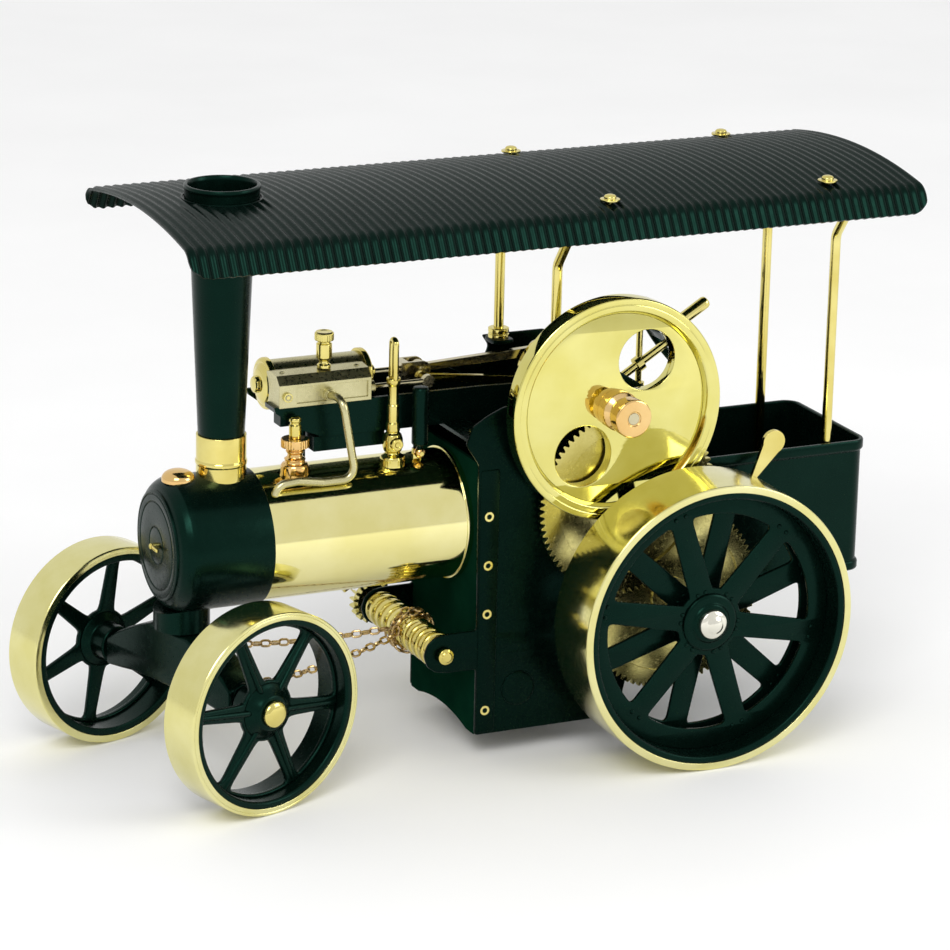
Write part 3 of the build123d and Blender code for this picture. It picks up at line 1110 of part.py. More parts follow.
# Small brass fittings: the firebox's hollow rivets, the screws of the bed and the valve chest, the
# crankshaft's bearing, the gear lever's stud and the regulator lever's pin and lug.
with BuildPart() as frame_fixings:
    with Locations((fwd(LEVER_X), LEVER_Y - 0.6, LEVER_Z)):
        Cylinder(0.8, 5.2, rotation=(90, 0, 0))
    with Locations((fwd(LEVER_X), LEVER_Y - 2.6, 104.4)):
        Box(3.0, 1.4, 5.6)
    with Locations((fwd(LEVER_X), 0, BOILER_Z)):
        Cylinder(BOILER_R, 20, rotation=(0, 90, 0), mode=Mode.SUBTRACT)
    with Locations((fwd(CRANK), INNER_HALF_W + 0.4, CRANK_Z)):
        Cylinder(3.2, SHEET + 0.6, rotation=(90, 0, 0))
    with Locations((fwd(CRANK), INNER_HALF_W - 0.8, CRANK_Z)):
        Cylinder(4.4, 1.6, rotation=(90, 0, 0))
    with Locations((fwd(CRANK), INNER_HALF_W, CRANK_Z)):
        Cylinder(2.0 + RUN, 10, rotation=(90, 0, 0), mode=Mode.SUBTRACT)
    with Locations((fwd(LEVER_PIVOT), (26.8 + 35.4) / 2, LEVER_PIVOT_Z)):
        Cylinder(1.3, 35.4 - 26.8, rotation=(90, 0, 0))
    with Locations((fwd(LEVER_PIVOT), (26.8 + 32.8) / 2, LEVER_PIVOT_Z)):
        Cylinder(2.2, 32.8 - 26.8, rotation=(90, 0, 0))
    for z in (87.5, 70.0, 52.5, 17.5):
        for sign in (1, -1):
            with Locations((fwd(69.6), sign * (BODY_HALF_W + 0.25), z)):
                Cylinder(1.7, 0.5, rotation=(90, 0, 0))
                Cylinder(0.9, 1.0, rotation=(90, 0, 0), mode=Mode.SUBTRACT)
    for sign in (1, -1):
        with Locations((fwd(72), sign * 20.5, BED_FLOOR + 1.9)):
            Cylinder(2.4, 1.2)
    with Locations((fwd(133.9), CHEST_SIDE + 0.5, 129.6)):
        Cylinder(1.6, 1.0, rotation=(90, 0, 0))
frame_fixings.part.label = "frame_fixings"
export_step(frame_fixings.part, "parts/frame_fixings.step")
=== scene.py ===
from math import asin, atan2, cos, hypot, pi, radians, sin, sqrt, tan

import bmesh
import bpy
from mathutils import Matrix, Vector


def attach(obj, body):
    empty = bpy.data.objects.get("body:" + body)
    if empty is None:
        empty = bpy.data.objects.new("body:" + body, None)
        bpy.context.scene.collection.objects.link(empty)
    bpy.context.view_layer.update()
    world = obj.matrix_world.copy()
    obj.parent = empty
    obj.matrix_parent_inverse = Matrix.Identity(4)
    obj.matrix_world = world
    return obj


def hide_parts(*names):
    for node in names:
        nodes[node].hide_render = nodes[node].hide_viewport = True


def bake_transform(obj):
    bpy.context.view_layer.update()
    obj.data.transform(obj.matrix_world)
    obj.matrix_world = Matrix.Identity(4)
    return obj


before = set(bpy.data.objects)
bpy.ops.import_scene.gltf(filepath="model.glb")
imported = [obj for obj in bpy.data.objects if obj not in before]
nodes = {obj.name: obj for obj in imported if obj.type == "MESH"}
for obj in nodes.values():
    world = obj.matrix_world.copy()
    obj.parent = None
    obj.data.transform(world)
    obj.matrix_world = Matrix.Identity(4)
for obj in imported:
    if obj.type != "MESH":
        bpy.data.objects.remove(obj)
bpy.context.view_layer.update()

# ---------------------------------------------------------------- sizes, in millimetres
REAR_AXLE_X = -67.53
REAR_R, REAR_OUTER_Y, REAR_TYRE_W = 51.0, 67.4, 25.0
FRONT_R, FRONT_OUTER_Y, FRONT_TYRE_W = 35.1, 51.3, 15.6
TYRE_T = 2.6
STEER_AT_REST = 16.7
BODY_HALF_W, SHEET = 27.6, 1.4
BOILER_R, BOILER_Z, SMOKEBOX_R = 22.5, 81.6, 23.2
FIREBOX_FRONT, SMOKEBOX_REAR, SMOKEBOX_FRONT = 73.0, 145.6, 178.5
BACKHEAD = 11.0
KING_PIN, CHIMNEY = 170.4, 156.3
TENDER_FRONT, TENDER_REAR, TENDER_BOTTOM, TENDER_TOP = -12.0, -78.5, 50.8, 99.1
CRANK, CRANK_Z = 27.8, 124.2
CYL_Y, CYL_Z, CYL_REAR, CYL_FRONT = -15.0, 129.6, 100.4, 133.4
DRUM, DRUM_Z, DRUM_R = 85.6, 39.8, 5.6
COLUMN_Y = -33.5
STEERING_WHEEL, STEERING_WHEEL_Z, STEERING_WHEEL_R = -30.2, 124.6, 18.6
ROOF_REAR, ROOF_FRONT = -83.7, 186.6
ROOF_SCREWS = (33.0, -50.0)
RAIL_Y, RAIL_Z = 38.5, 193.7
POST_FRONT, POST_FRONT_Y, HORN_TOP, POST_R = 43.8, 22.4, 135.4, 1.75
POST_REAR, POST_REAR_Y = -62.8, 24.2

WORM_WHEEL_R, WORM_R, WORM_GAP = 0.8 * 9.92, 2.5, 0.25
column_reach = WORM_WHEEL_R + WORM_R + WORM_GAP
column_run = hypot(DRUM - STEERING_WHEEL, STEERING_WHEEL_Z - DRUM_Z)
COLUMN_TILT = atan2(STEERING_WHEEL_Z - DRUM_Z, DRUM - STEERING_WHEEL) - asin(column_reach / column_run)
WORM_AT = sqrt(column_run**2 - column_reach**2)
steer = radians(STEER_AT_REST)
axle_line = Vector((-sin(steer), cos(steer), 0))

X, Y, Z = Vector((1, 0, 0)), Vector((0, 1, 0)), Vector((0, 0, 1))


def fwd(distance):
    return REAR_AXLE_X + distance


def at(x, y, z):
    """A point x mm forward of the rear axle."""
    return Vector((fwd(x), y, z))


# ---------------------------------------------------------------- materials
def new_material(name):
    material = bpy.data.materials.new(name + "_finish")
    material.use_nodes = True
    tree = material.node_tree
    return material, tree, tree.nodes["Principled BSDF"]


def add_noise(tree, scale, detail=4.0, stretch=None):
    coords = tree.nodes.new("ShaderNodeTexCoord")
    texture = tree.nodes.new("ShaderNodeTexNoise")
    texture.inputs["Scale"].default_value = scale
    texture.inputs["Detail"].default_value = detail
    if stretch:
        mapping = tree.nodes.new("ShaderNodeMapping")
        mapping.inputs["Scale"].default_value = stretch
        tree.links.new(coords.outputs["Object"], mapping.inputs["Vector"])
        tree.links.new(mapping.outputs["Vector"], texture.inputs["Vector"])
    else:
        tree.links.new(coords.outputs["Object"], texture.inputs["Vector"])
    return texture


def ramp_between(tree, source, low, high, first, last):
    ramp = tree.nodes.new("ShaderNodeValToRGB")
    ramp.color_ramp.elements[0].position = low
    ramp.color_ramp.elements[0].color = (*first, 1)
    ramp.color_ramp.elements[1].position = high
    ramp.color_ramp.elements[1].color = (*last, 1)
    tree.links.new(source.outputs["Fac"], ramp.inputs["Fac"])
    return ramp


def spread(tree, source, low, high):
    values = tree.nodes.new("ShaderNodeMapRange")
    values.inputs["From Min"].default_value = 0.3
    values.inputs["From Max"].default_value = 0.7
    values.inputs["To Min"].default_value = low
    values.inputs["To Max"].default_value = high
    tree.links.new(source.outputs["Fac"], values.inputs["Value"])
    return values


def add_normal(tree, shader, source, strength, distance, edge):
    """Fine relief, and edges rounded by this many metres."""
    bump = tree.nodes.new("ShaderNodeBump")
    bump.inputs["Strength"].default_value = strength
    bump.inputs["Distance"].default_value = distance
    tree.links.new(source.outputs["Fac"], bump.inputs["Height"])
    if edge:
        bevel = tree.nodes.new("ShaderNodeBevel")
        bevel.samples = 4
        bevel.inputs["Radius"].default_value = edge
        tree.links.new(bevel.outputs["Normal"], bump.inputs["Normal"])
    tree.links.new(bump.outputs["Normal"], shader.inputs["Normal"])


def metal(name, first, last, rough, relief=0.05, grain=None, edge=0.00022):
    """Polished metal with cloudy tarnish, fine handling marks and a soft edge."""
    material, tree, shader = new_material(name)
    shader.inputs["Metallic"].default_value = 1.0
    tarnish = add_noise(tree, 55, 6)
    colour = ramp_between(tree, tarnish, 0.35, 0.68, first, last)
    tree.links.new(colour.outputs["Color"], shader.inputs["Base Color"])
    marks = add_noise(tree, 900 if grain is None else 420, 8, grain)
    roughness = spread(tree, marks, rough[0], rough[1])
    tree.links.new(roughness.outputs["Result"], shader.inputs["Roughness"])
    add_normal(tree, shader, marks, relief, 0.00003, edge)
    return material


def enamel(name, first, last, rough, relief, edge=0.0003, gloss=0.16):
    """Stoved gloss enamel with a little orange peel."""
    material, tree, shader = new_material(name)
    shader.inputs["Specular IOR Level"].default_value = gloss
    shader.inputs["Specular Tint"].default_value = (0.25, 1.0, 0.72, 1)
    dust = add_noise(tree, 90, 6)
    colour = ramp_between(tree, dust, 0.38, 0.72, first, last)
    tree.links.new(colour.outputs["Color"], shader.inputs["Base Color"])
    peel = add_noise(tree, 520, 3)
    roughness = spread(tree, peel, rough[0], rough[1])
    tree.links.new(roughness.outputs["Result"], shader.inputs["Roughness"])
    add_normal(tree, shader, peel, relief, 0.00006, edge)
    return material


boiler_brass = metal("boiler_brass", (0.80, 0.73, 0.30), (0.87, 0.81, 0.40), (0.05, 0.11), 0.03)
polished_brass = metal("polished_brass", (0.64, 0.53, 0.14), (0.77, 0.68, 0.25), (0.08, 0.16), 0.05)
flywheel_brass = metal("flywheel_brass", (0.68, 0.62, 0.18), (0.74, 0.69, 0.25), (0.025, 0.07), 0.02)
gear_brass = metal("gear_brass", (0.56, 0.49, 0.16), (0.68, 0.61, 0.24), (0.18, 0.28), 0.06)
warm_brass = metal("warm_brass", (0.72, 0.44, 0.15), (0.84, 0.60, 0.27), (0.08, 0.18), 0.05)
nickel = metal("nickel", (0.62, 0.60, 0.50), (0.80, 0.78, 0.68), (0.10, 0.2), 0.05)
motion_steel = metal("motion_steel", (0.52, 0.47, 0.30), (0.64, 0.58, 0.38), (0.14, 0.26), 0.06)
engine_metal = metal("engine_metal", (0.50, 0.46, 0.24), (0.62, 0.58, 0.33), (0.24, 0.36), 0.05)
tyre_brass = metal("tyre_brass", (0.72, 0.67, 0.27), (0.80, 0.76, 0.38), (0.11, 0.19), 0.05)
chain_metal = metal("chain_metal", (0.42, 0.29, 0.13), (0.62, 0.46, 0.24), (0.2, 0.34), 0.06, edge=0)
black_enamel = enamel("black_enamel", (0.0007, 0.0034, 0.0023), (0.0012, 0.0056, 0.0038), (0.2, 0.3), 0.05)
# The firebox front plate's enamel has no gloss. Its colour is partly the enamel's own dark green and partly
# painted light: it is lighter and greener than the black enamel elsewhere, in place of the sheen the plate
# shows under the boiler.
plate_enamel_painted_light = enamel(
    "plate_enamel_painted_light", (0.0015, 0.016, 0.0085), (0.0025, 0.023, 0.012), (0.34, 0.46), 0.05, gloss=0,
)
side_enamel = enamel(
    "side_enamel", (0.0004, 0.002, 0.0013), (0.0008, 0.0036, 0.0024), (0.22, 0.32), 0.05, gloss=0.1,
)
roof_enamel = enamel(
    "roof_enamel", (0.0014, 0.0042, 0.0032), (0.0024, 0.0064, 0.005), (0.2, 0.32), 0.06, 0, gloss=0.11
)


# ---------------------------------------------------------------- building pieces
def rounded(points, radius, closed=True, steps=3):
    """The same outline with each corner turned into a small arc."""
    out = []
    count = len(points)
    for i, point in enumerate(points):
        here = Vector(point)
        if not closed and i in (0, count - 1):
            out.append(tuple(here))
            continue
        before, after = Vector(points[i - 1]), Vector(points[(i + 1) % count])
        a, b = before - here, after - here
        if a.length < 1e-6 or b.length < 1e-6:
            out.append(tuple(here))
            continue
        cut = min(radius, a.length * 0.45, b.length * 0.45)
        start, end = here + a.normalized() * cut, here + b.normalized() * cut
        for k in range(steps + 1):
            t = k / steps
            out.append(tuple(start * (1 - t) ** 2 + here * 2 * t * (1 - t) + end * t**2))
    return out


def finish(name, verts, faces, material, body, replaced=(), slot=None, angle=32):
    """Makes the piece from points in millimetres and puts it on its body."""
    mesh = bpy.data.meshes.new(name)
    mesh.from_pydata([Vector(v) / 1000 for v in verts], [], faces)
    mesh.validate()
    mesh.shade_smooth()
    mesh.set_sharp_from_angle(angle=radians(angle))
    mesh.materials.append(material)
    piece = bpy.data.objects.new(name, mesh)
    bpy.context.scene.collection.objects.link(piece)
    if body:
        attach(piece, body)
    if replaced:
        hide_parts(*replaced)
    return piece


def across(axis):
    """Two directions square to an axis."""
    side = X if abs(axis.x) < 0.7 else Y
    first = (side - axis * side.dot(axis)).normalized()
    return first, axis.cross(first)


def turned(profile, base, axis, segments=96, soften=0.25, knurls=(), closed=False):
    """Points and faces of a turned piece. The profile is (radius, distance along the axis) pairs.

    A knurl is (from distance, to distance, count, depth): its teeth cut into that stretch of the rim.
    """
    axis = Vector(axis).normalized()
    u, v = across(axis)
    line = rounded(profile, soften, closed) if soften else list(profile)
    verts, faces = [], []
    for radius, along in line:
        for k in range(segments):
            angle = 2 * pi * k / segments
            r = radius
            for low, high, count, depth in knurls:
                if low <= along <= high and radius > depth * 2:
                    r -= depth * (0.5 + 0.5 * cos(count * angle))
            verts.append(base + axis * along + (u * cos(angle) + v * sin(angle)) * max(r, 1e-4))
    rows = len(line)
    for i in range(rows if closed else rows - 1):
        j = (i + 1) % rows
        for k in range(segments):
            m = (k + 1) % segments
            faces.append((i * segments + k, j * segments + k, j * segments + m, i * segments + m))
    return verts, faces


def join(*parts):
    """Several (points, faces) pairs as one."""
    verts, faces = [], []
    for points, polygons in parts:
        shift = len(verts)
        verts += points
        faces += [tuple(i + shift for i in face) for face in polygons]
    return verts, faces


def bent_path(points, radius, steps=10):
    """A path's corners turned into true arcs."""
    path = [Vector(points[0])]
    for i in range(1, len(points) - 1):
        here = Vector(points[i])
        a = (Vector(points[i - 1]) - here).normalized()
        b = (Vector(points[i + 1]) - here).normalized()
        half = a.angle(b) / 2
        cut = radius / tan(half)
        centre = here + (a + b).normalized() * radius / sin(half)
        start = here + a * cut - centre
        end = here + b * cut - centre
        turn = start.angle(end)
        for k in range(steps + 1):
            t = k / steps
            path.append(centre + (start * sin((1 - t) * turn) + end * sin(t * turn)) / sin(turn))
    path.append(Vector(points[-1]))
    return path


def tube(path, radius, segments=24, loop=False):
    """Points and faces of a round bar along a path."""
    verts, faces = [], []
    count = len(path)
    u = None
    for i, point in enumerate(path):
        if loop:
            ahead = (path[(i + 1) % count] - path[i - 1]).normalized()
        else:
            ahead = (path[min(i + 1, count - 1)] - path[max(i - 1, 0)]).normalized()
        if u is None:
            u = across(ahead)[0]
        u = (u - ahead * u.dot(ahead)).normalized()
        v = ahead.cross(u)
        for k in range(segments):
            angle = 2 * pi * k / segments
            verts.append(point + (u * cos(angle) + v * sin(angle)) * radius)
    for i in range(count if loop else count - 1):
        j = (i + 1) % count
        for k in range(segments):
            m = (k + 1) % segments
            faces.append((i * segments + k, i * segments + m, j * segments + m, j * segments + k))
    if not loop:
        faces.append(tuple(reversed(range(segments))))
        faces.append(tuple((count - 1) * segments + k for k in range(segments)))
    return verts, faces


def pressed(loops, thickness, place, bevel=0.25):
    """Points and faces of a flat plate with holes and softened edges.

    The loops are drawn in the plate's own plane; place sets its middle in millimetres.
    """
    curve = bpy.data.curves.new("outline", "CURVE")
    curve.dimensions = "2D"
    curve.fill_mode = "BOTH"
    curve.extrude = thickness / 2 - bevel
    curve.bevel_depth = bevel
    curve.bevel_resolution = 2
    curve.offset = -bevel
    for loop in loops:
        spline = curve.splines.new("POLY")
        spline.points.add(len(loop) - 1)
        for point, (a, b) in zip(spline.points, loop):
            point.co = (a, b, 0, 1)
        spline.use_cyclic_u = True
    holder = bpy.data.objects.new("outline", curve)
    bpy.context.scene.collection.objects.link(holder)
    bpy.context.view_layer.update()
    mesh = bpy.data.meshes.new_from_object(holder.evaluated_get(bpy.context.evaluated_depsgraph_get()))
    shape = bmesh.new()
    shape.from_mesh(mesh)
    bmesh.ops.remove_doubles(shape, verts=shape.verts, dist=0.003)
    bmesh.ops.recalc_face_normals(shape, faces=shape.faces)
    verts = [place @ v.co for v in shape.verts]
    faces = [tuple(v.index for v in f.verts) for f in shape.faces]
    shape.free()
    bpy.data.objects.remove(holder)
    bpy.data.curves.remove(curve)
    bpy.data.meshes.remove(mesh)
    return verts, faces


def circle(x, y, radius, count=64):
    return [
        (x + radius * cos(2 * pi * k / count), y + radius * sin(2 * pi * k / count)) for k in range(count)
    ]


def facing(origin, normal, up):
    """A plane at origin whose own y runs up and whose own z is the normal."""
    normal = Vector(normal).normalized()
    up = Vector(up).normalized()
    right = up.cross(normal)
    matrix = Matrix((right, up, normal)).transposed().to_4x4()
    matrix.translation = origin
    return matrix


def side_view(y):
    """The plane at this y: its own x runs forward, its own y runs up, and its normal is -Y."""
    return facing(Vector((0, y, 0)), (0, -1, 0), (0, 0, 1))


def plate_loop(points):
    """An outline in (x forward of the rear axle, z) for a plane whose normal is -Y."""
    return [(fwd(x), z) for x, z in points]


def rivet(base, axis, radius, height, segments=20):
    return turned(
        [(radius, 0), (radius, height * 0.3), (radius * 0.75, height * 0.8), (0, height)],
        base, axis, segments, 0.1,
    )


# ---------------------------------------------------------------- roof
RIDGES = 82
RIDGE_H = 0.42


def roof_section(trim):
    """Half of the roof's outline from its middle out and down, shortened by trim at the lower edge."""
    radius = 227.5
    line = []
    for k in range(31):
        y = 43.0 * k / 30
        line.append(Vector((y, 199.5 - radius + sqrt(radius**2 - y**2))))
    corner = Vector((46.4, 194.9))
    low = Vector((51.7, 186.5))
    start = line[-1]
    end = corner + (low - corner).normalized() * 3.4
    for k in range(1, 9):
        t = k / 8
        line.append(start * (1 - t) ** 2 + corner * 2 * t * (1 - t) + end * t**2)
    last = low - (low - corner).normalized() * trim
    for k in range(1, 7):
        line.append(end.lerp(last, k / 6))
    return line


def build_roof():
    steps = RIDGES * 8
    length = ROOF_FRONT - ROOF_REAR
    verts, faces = [], []
    corner_r = 7.0
    width = 0
    for shell in (0, 1):
        for i in range(steps + 1):
            x = length * i / steps
            near_end = min(x, length - x)
            trim = 0
            if near_end < corner_r:
                trim = (corner_r - sqrt(max(corner_r**2 - (corner_r - near_end) ** 2, 0))) * 0.95
            half = roof_section(min(trim, 6.4))
            section = [Vector((-p.x, p.y)) for p in reversed(half[1:])] + half
            width = len(section)
            wave = RIDGE_H * sin(2 * pi * RIDGES * x / length)
            for k, p in enumerate(section):
                a = section[max(k - 1, 0)]
                b = section[min(k + 1, width - 1)]
                along = (b - a).normalized()
                normal = Vector((-along.y, along.x))
                moved = p + normal * (wave - shell * 0.8)
                verts.append(Vector((fwd(ROOF_REAR) + x, moved.x, moved.y)))
    per_shell = (steps + 1) * width
    hole_r = 13.1
    centre = Vector((fwd(CHIMNEY), 0))
    inside = [(Vector((v.x, v.y)) - centre).length < hole_r for v in verts]
    for shell in (0, 1):
        base = shell * per_shell
        for i in range(steps):
            for k in range(width - 1):
                quad = (
                    base + i * width + k, base + (i + 1) * width + k,
                    base + (i + 1) * width + k + 1, base + i * width + k + 1,
                )
                if all(inside[q] for q in quad):
                    continue
                faces.append(quad if shell == 0 else tuple(reversed(quad)))
    for n, flag in enumerate(inside):
        if flag:
            flat = Vector((verts[n].x, verts[n].y)) - centre
            if flat.length < 1e-6:
                continue
            flat = centre + flat.normalized() * hole_r
            verts[n] = Vector((flat.x, flat.y, verts[n].z))
    for i in range(steps):
        for k in (0, width - 1):
            a, b = i * width + k, (i + 1) * width + k
            wall = (a, b, b + per_shell, a + per_shell)
            faces.append(wall if k else tuple(reversed(wall)))
    for k in range(width - 1):
        for i in (0, steps):
            a, b = i * width + k, i * width + k + 1
            wall = (a, b, b + per_shell, a + per_shell)
            faces.append(tuple(reversed(wall)) if i else wall)
    lip = turned(
        [(hole_r - 0.05, 197.6), (hole_r - 0.05, 199.8), (hole_r + 0.5, 199.8), (hole_r + 0.5, 197.6)],
        Vector((fwd(CHIMNEY), 0, 0)), Z, 96, 0.1, closed=True,
    )
    used = sorted({i for face in faces for i in face})
    place = {old: new for new, old in enumerate(used)}
    verts = [verts[i] for i in used]
    faces = [tuple(place[i] for i in face) for face in faces]
    finish("roof_corrugated", *join((verts, faces), lip), roof_enamel, "frame", ("roof",), angle=60)


build_roof()

fasteners = []
for x in ROOF_SCREWS:
    for side in (1, -1):
        base = at(x, side * RAIL_Y, 0)
        fasteners.append(turned(
            [(0.9, 195.5), (0.9, 197.1), (3.4, 197.15), (3.4, 197.75), (1.2, 197.8)], base, Z, 40, 0.12,
        ))
        fasteners.append(turned(
            [(2.1, 197.6), (2.1, 198.5), (1.7, 199.0), (0.9, 199.25), (0, 199.3)], base, Z, 40, 0.15,
        ))
for side in (1, -1):
    base = at(POST_FRONT, side * POST_FRONT_Y, HORN_TOP)
    fasteners.append(turned(
        [
            (POST_R, 0), (3.7, 0.02), (3.7, 1.3), (3.4, 1.5), (3.4, 1.8), (3.7, 2.0), (3.7, 3.4), (3.2, 3.6),
            (POST_R, 3.6),
        ], base, Z, 48, 0.15,
    ))
finish("roof_screws_and_nuts", *join(*fasteners), polished_brass, "frame", ("roof_fasteners",))

for side, sign in (("left", 1), ("right", -1)):
    path = bent_path([
        at(POST_FRONT, sign * POST_FRONT_Y, HORN_TOP), at(POST_FRONT, sign * POST_FRONT_Y, 172),
        at(POST_FRONT, sign * RAIL_Y, RAIL_Z), at(POST_REAR, sign * RAIL_Y, RAIL_Z),
        at(POST_REAR, sign * POST_REAR_Y, 174), at(POST_REAR, sign * POST_REAR_Y, TENDER_BOTTOM + 1.2),
    ], 7)
    finish(f"roof_posts_{side}", *tube(path, POST_R), polished_brass, "frame", (f"roof_frame_{side}",))

# ---------------------------------------------------------------- frame plates
plate_front = [
    (73, 8.6), (73, 32.8), (79, 32.8), (84, 32.9), (88.3, 33.6), (91.3, 35.8), (92.6, 39.8), (91.3, 43.8),
    (88.3, 46.2), (84, 46.8), (73, 46.8), (73.6, 106), (78.4, 113.4), (76.2, 119.6), (70.6, 123.0),
    (64.6, 125.6), (51.5, 126.2), (48.6, 126.9), (46.5, 128.6), (45.5, 131.4), (48.2, HORN_TOP),
    (24, HORN_TOP),
    (-4, 118), (-9, TENDER_TOP), (-11.8, TENDER_TOP), (-11.8, TENDER_BOTTOM), (12, 36), (18, 8.6),
]
for side, sign in (("left", 1), ("right", -1)):
    loops = [
        plate_loop(rounded(plate_front, 1.2)), circle(fwd(DRUM), DRUM_Z, 1.7, 32),
        circle(fwd(0), REAR_R, 2.5, 32)
    ]
    if side == "left":
        loops.append(circle(fwd(CRANK), CRANK_Z, 3.2, 40))
    plane = side_view(sign * (BODY_HALF_W - SHEET / 2))
    tab = pressed(
        [rounded([
            (fwd(POST_FRONT) - 4, -9), (fwd(POST_FRONT) + 4, -9),
            (fwd(POST_FRONT) + 4, 0), (fwd(POST_FRONT) - 4, 0),
        ], 2)],
        1.4,
        Matrix.Translation((0, sign * (BODY_HALF_W - SHEET) + (9 if sign < 0 else 0), HORN_TOP - 0.7)),
        0.3,
    )
    parts = [pressed(loops, SHEET, plane, 0.35), tab]
    # The plate's front edge is folded over into a narrow strip.
    strip = rounded([(65.9, 9.5), (72.8, 9.5), (72.8, 31), (72.8, 48.5), (72.9, 104), (65.9, 104)], 0.8)
    if sign > 0:
        parts.append(pressed([plate_loop(strip)], 0.5, side_view(sign * (BODY_HALF_W + 0.12)), 0.2))
    parts.append(turned(
        [(6.2, 0), (6.2, 0.3), (5.6, 0.5), (0, 0.5)], at(57, sign * BODY_HALF_W, 24), sign * Y, 48, 0.2,
    ))
    finish(f"side_plate_{side}_pressed", *join(*parts), side_enamel, "frame", (f"side_plate_{side}",))


# ---------------------------------------------------------------- tender
def build_tender():
    rear, front = fwd(TENDER_REAR), fwd(TENDER_FRONT)

    def ring(inset, z, corner):
        """The tender's plan, inset from its outside, as points at height z."""
        half = BODY_HALF_W - inset
        back = rear + inset
        corner = max(corner - inset, 0.3)
        points = [Vector((front, half, z))]
        for sign in (1, -1):
            centre = Vector((back + corner, sign * (half - corner), z))
            for k in range(9):
                angle = radians(90 + 90 * k / 8) if sign > 0 else radians(180 + 90 * k / 8)
                points.append(centre + Vector((cos(angle), sin(angle), 0)) * corner)
        points.append(Vector((front, -half, z)))
        return points

    low, high = TENDER_BOTTOM, TENDER_TOP
    outline = [
        (1.2, low), (0.35, low), (0.0, low + 0.5), (0.0, low + 2.7), (0.35, low + 3.3), (0.85, low + 3.6),
        (0.85, high - 4.2), (0.5, high - 3.9), (0.05, high - 3.3), (0.0, high - 2.9), (0.0, high - 0.5),
        (0.3, high), (1.2, high), (1.55, high - 0.4), (1.6, high - 3.8), (1.6, low + 1.2),
    ]
    verts, faces = [], []
    count = 0
    for inset, z in outline:
        points = ring(inset, z, 5.8)
        count = len(points)
        verts += points
    for i in range(len(outline) - 1):
        for k in range(count):
            m = (k + 1) % count
            faces.append((i * count + k, i * count + m, (i + 1) * count + m, (i + 1) * count + k))
    faces.append(tuple(range(count)))
    faces.append(tuple(reversed(range((len(outline) - 1) * count, len(outline) * count))))
    finish("tender_box", verts, faces, black_enamel, "frame", ("tender",))


build_tender()

# ---------------------------------------------------------------- boiler
axis_base = Vector((fwd(0), 0, BOILER_Z))
finish("boiler", *turned([
    (0, BACKHEAD), (BOILER_R, BACKHEAD), (BOILER_R, FIREBOX_FRONT), (BOILER_R + 0.6, FIREBOX_FRONT),
    (BOILER_R + 0.6, FIREBOX_FRONT + 2.2), (BOILER_R, FIREBOX_FRONT + 2.2), (BOILER_R, SMOKEBOX_REAR),
], axis_base, X, 160, 0.3), boiler_brass, "frame", ("boiler_barrel",))
finish("smokebox_turned", *turned([
    (BOILER_R - 3, SMOKEBOX_REAR), (SMOKEBOX_R, SMOKEBOX_REAR), (SMOKEBOX_R, 172.4),
    (SMOKEBOX_R - 0.35, 174.4),
    (SMOKEBOX_R - 1.4, 176.4), (SMOKEBOX_R - 2.7, 177.8), (SMOKEBOX_R - 4.0, 178.4), (19.0, 178.5),
    (17.5, 178.5),
], axis_base, X, 160, 0.5), black_enamel, "frame", ("smokebox",))
door_profile = [(18.9, 178.5), (18.9, 179.2)]
for groove in (17.6, 15.0, 6.4):
    door_profile += [
        (groove + 0.3, 179.5), (groove + 0.1, 179.15), (groove - 0.1, 179.15), (groove - 0.3, 179.5)
    ]
door_profile += [(1.0, 179.5), (0, 179.5)]
finish(
    "smokebox_door_turned", *turned(door_profile, axis_base, X, 128, 0.12), black_enamel, "frame",
    ("smokebox_door",),
)
handle = pressed(
    [rounded([(-0.8, -0.6), (0.8, -0.6), (0.6, 5.8), (-0.6, 5.8)], 0.4)], 1.0,
    facing(at(SMOKEBOX_FRONT + 2.6, 0, BOILER_Z), (1, 0, 0), (0, 1, 0)), 0.25,
)
pin = turned([(1.1, 178.9), (1.1, 181.4), (0.8, 181.9), (0, 181.9)], axis_base, X, 32, 0.2)
finish("door_catch", *join(handle, pin), polished_brass, "frame", ("door_handle",))
finish("brass_dome", *turned([
    (5.6, 103.7), (5.6, 104.9), (5.2, 105.8), (4.4, 106.6), (3.2, 107.2), (1.7, 107.6), (0, 107.7),
], at(171.7, 0, 0), Z, 64, 0.5), warm_brass, "frame", ("smokebox_dome",))

chimney_base = at(CHIMNEY, 0, 0)
finish("chimney_turned", *turned([
    (6.6, 118.6), (7.9, 118.6), (8.9, 143), (10.0, 170), (10.7, 187), (10.9, 192.6), (11.6, 193.4),
    (12.7, 193.7),
    (12.8, 195.4), (12.5, 196.2), (12.5, 202.4), (12.8, 203.0), (12.6, 204.1), (11.6, 204.2), (11.2, 203.0),
    (10.4, 193), (6.6, 118.6),
], chimney_base, Z, 96, 0.35), black_enamel, "frame", ("chimney",))
band = [(8.5, 118.6), (8.5, 110.0), (8.8, 109.6), (8.8, 108.6), (8.5, 108.2), (8.5, 103.0)]
finish(
    "chimney_band_turned", *turned([(6.6, 118.6)] + band, chimney_base, Z, 96, 0.25), polished_brass,
    "frame", ("chimney_band",),
)

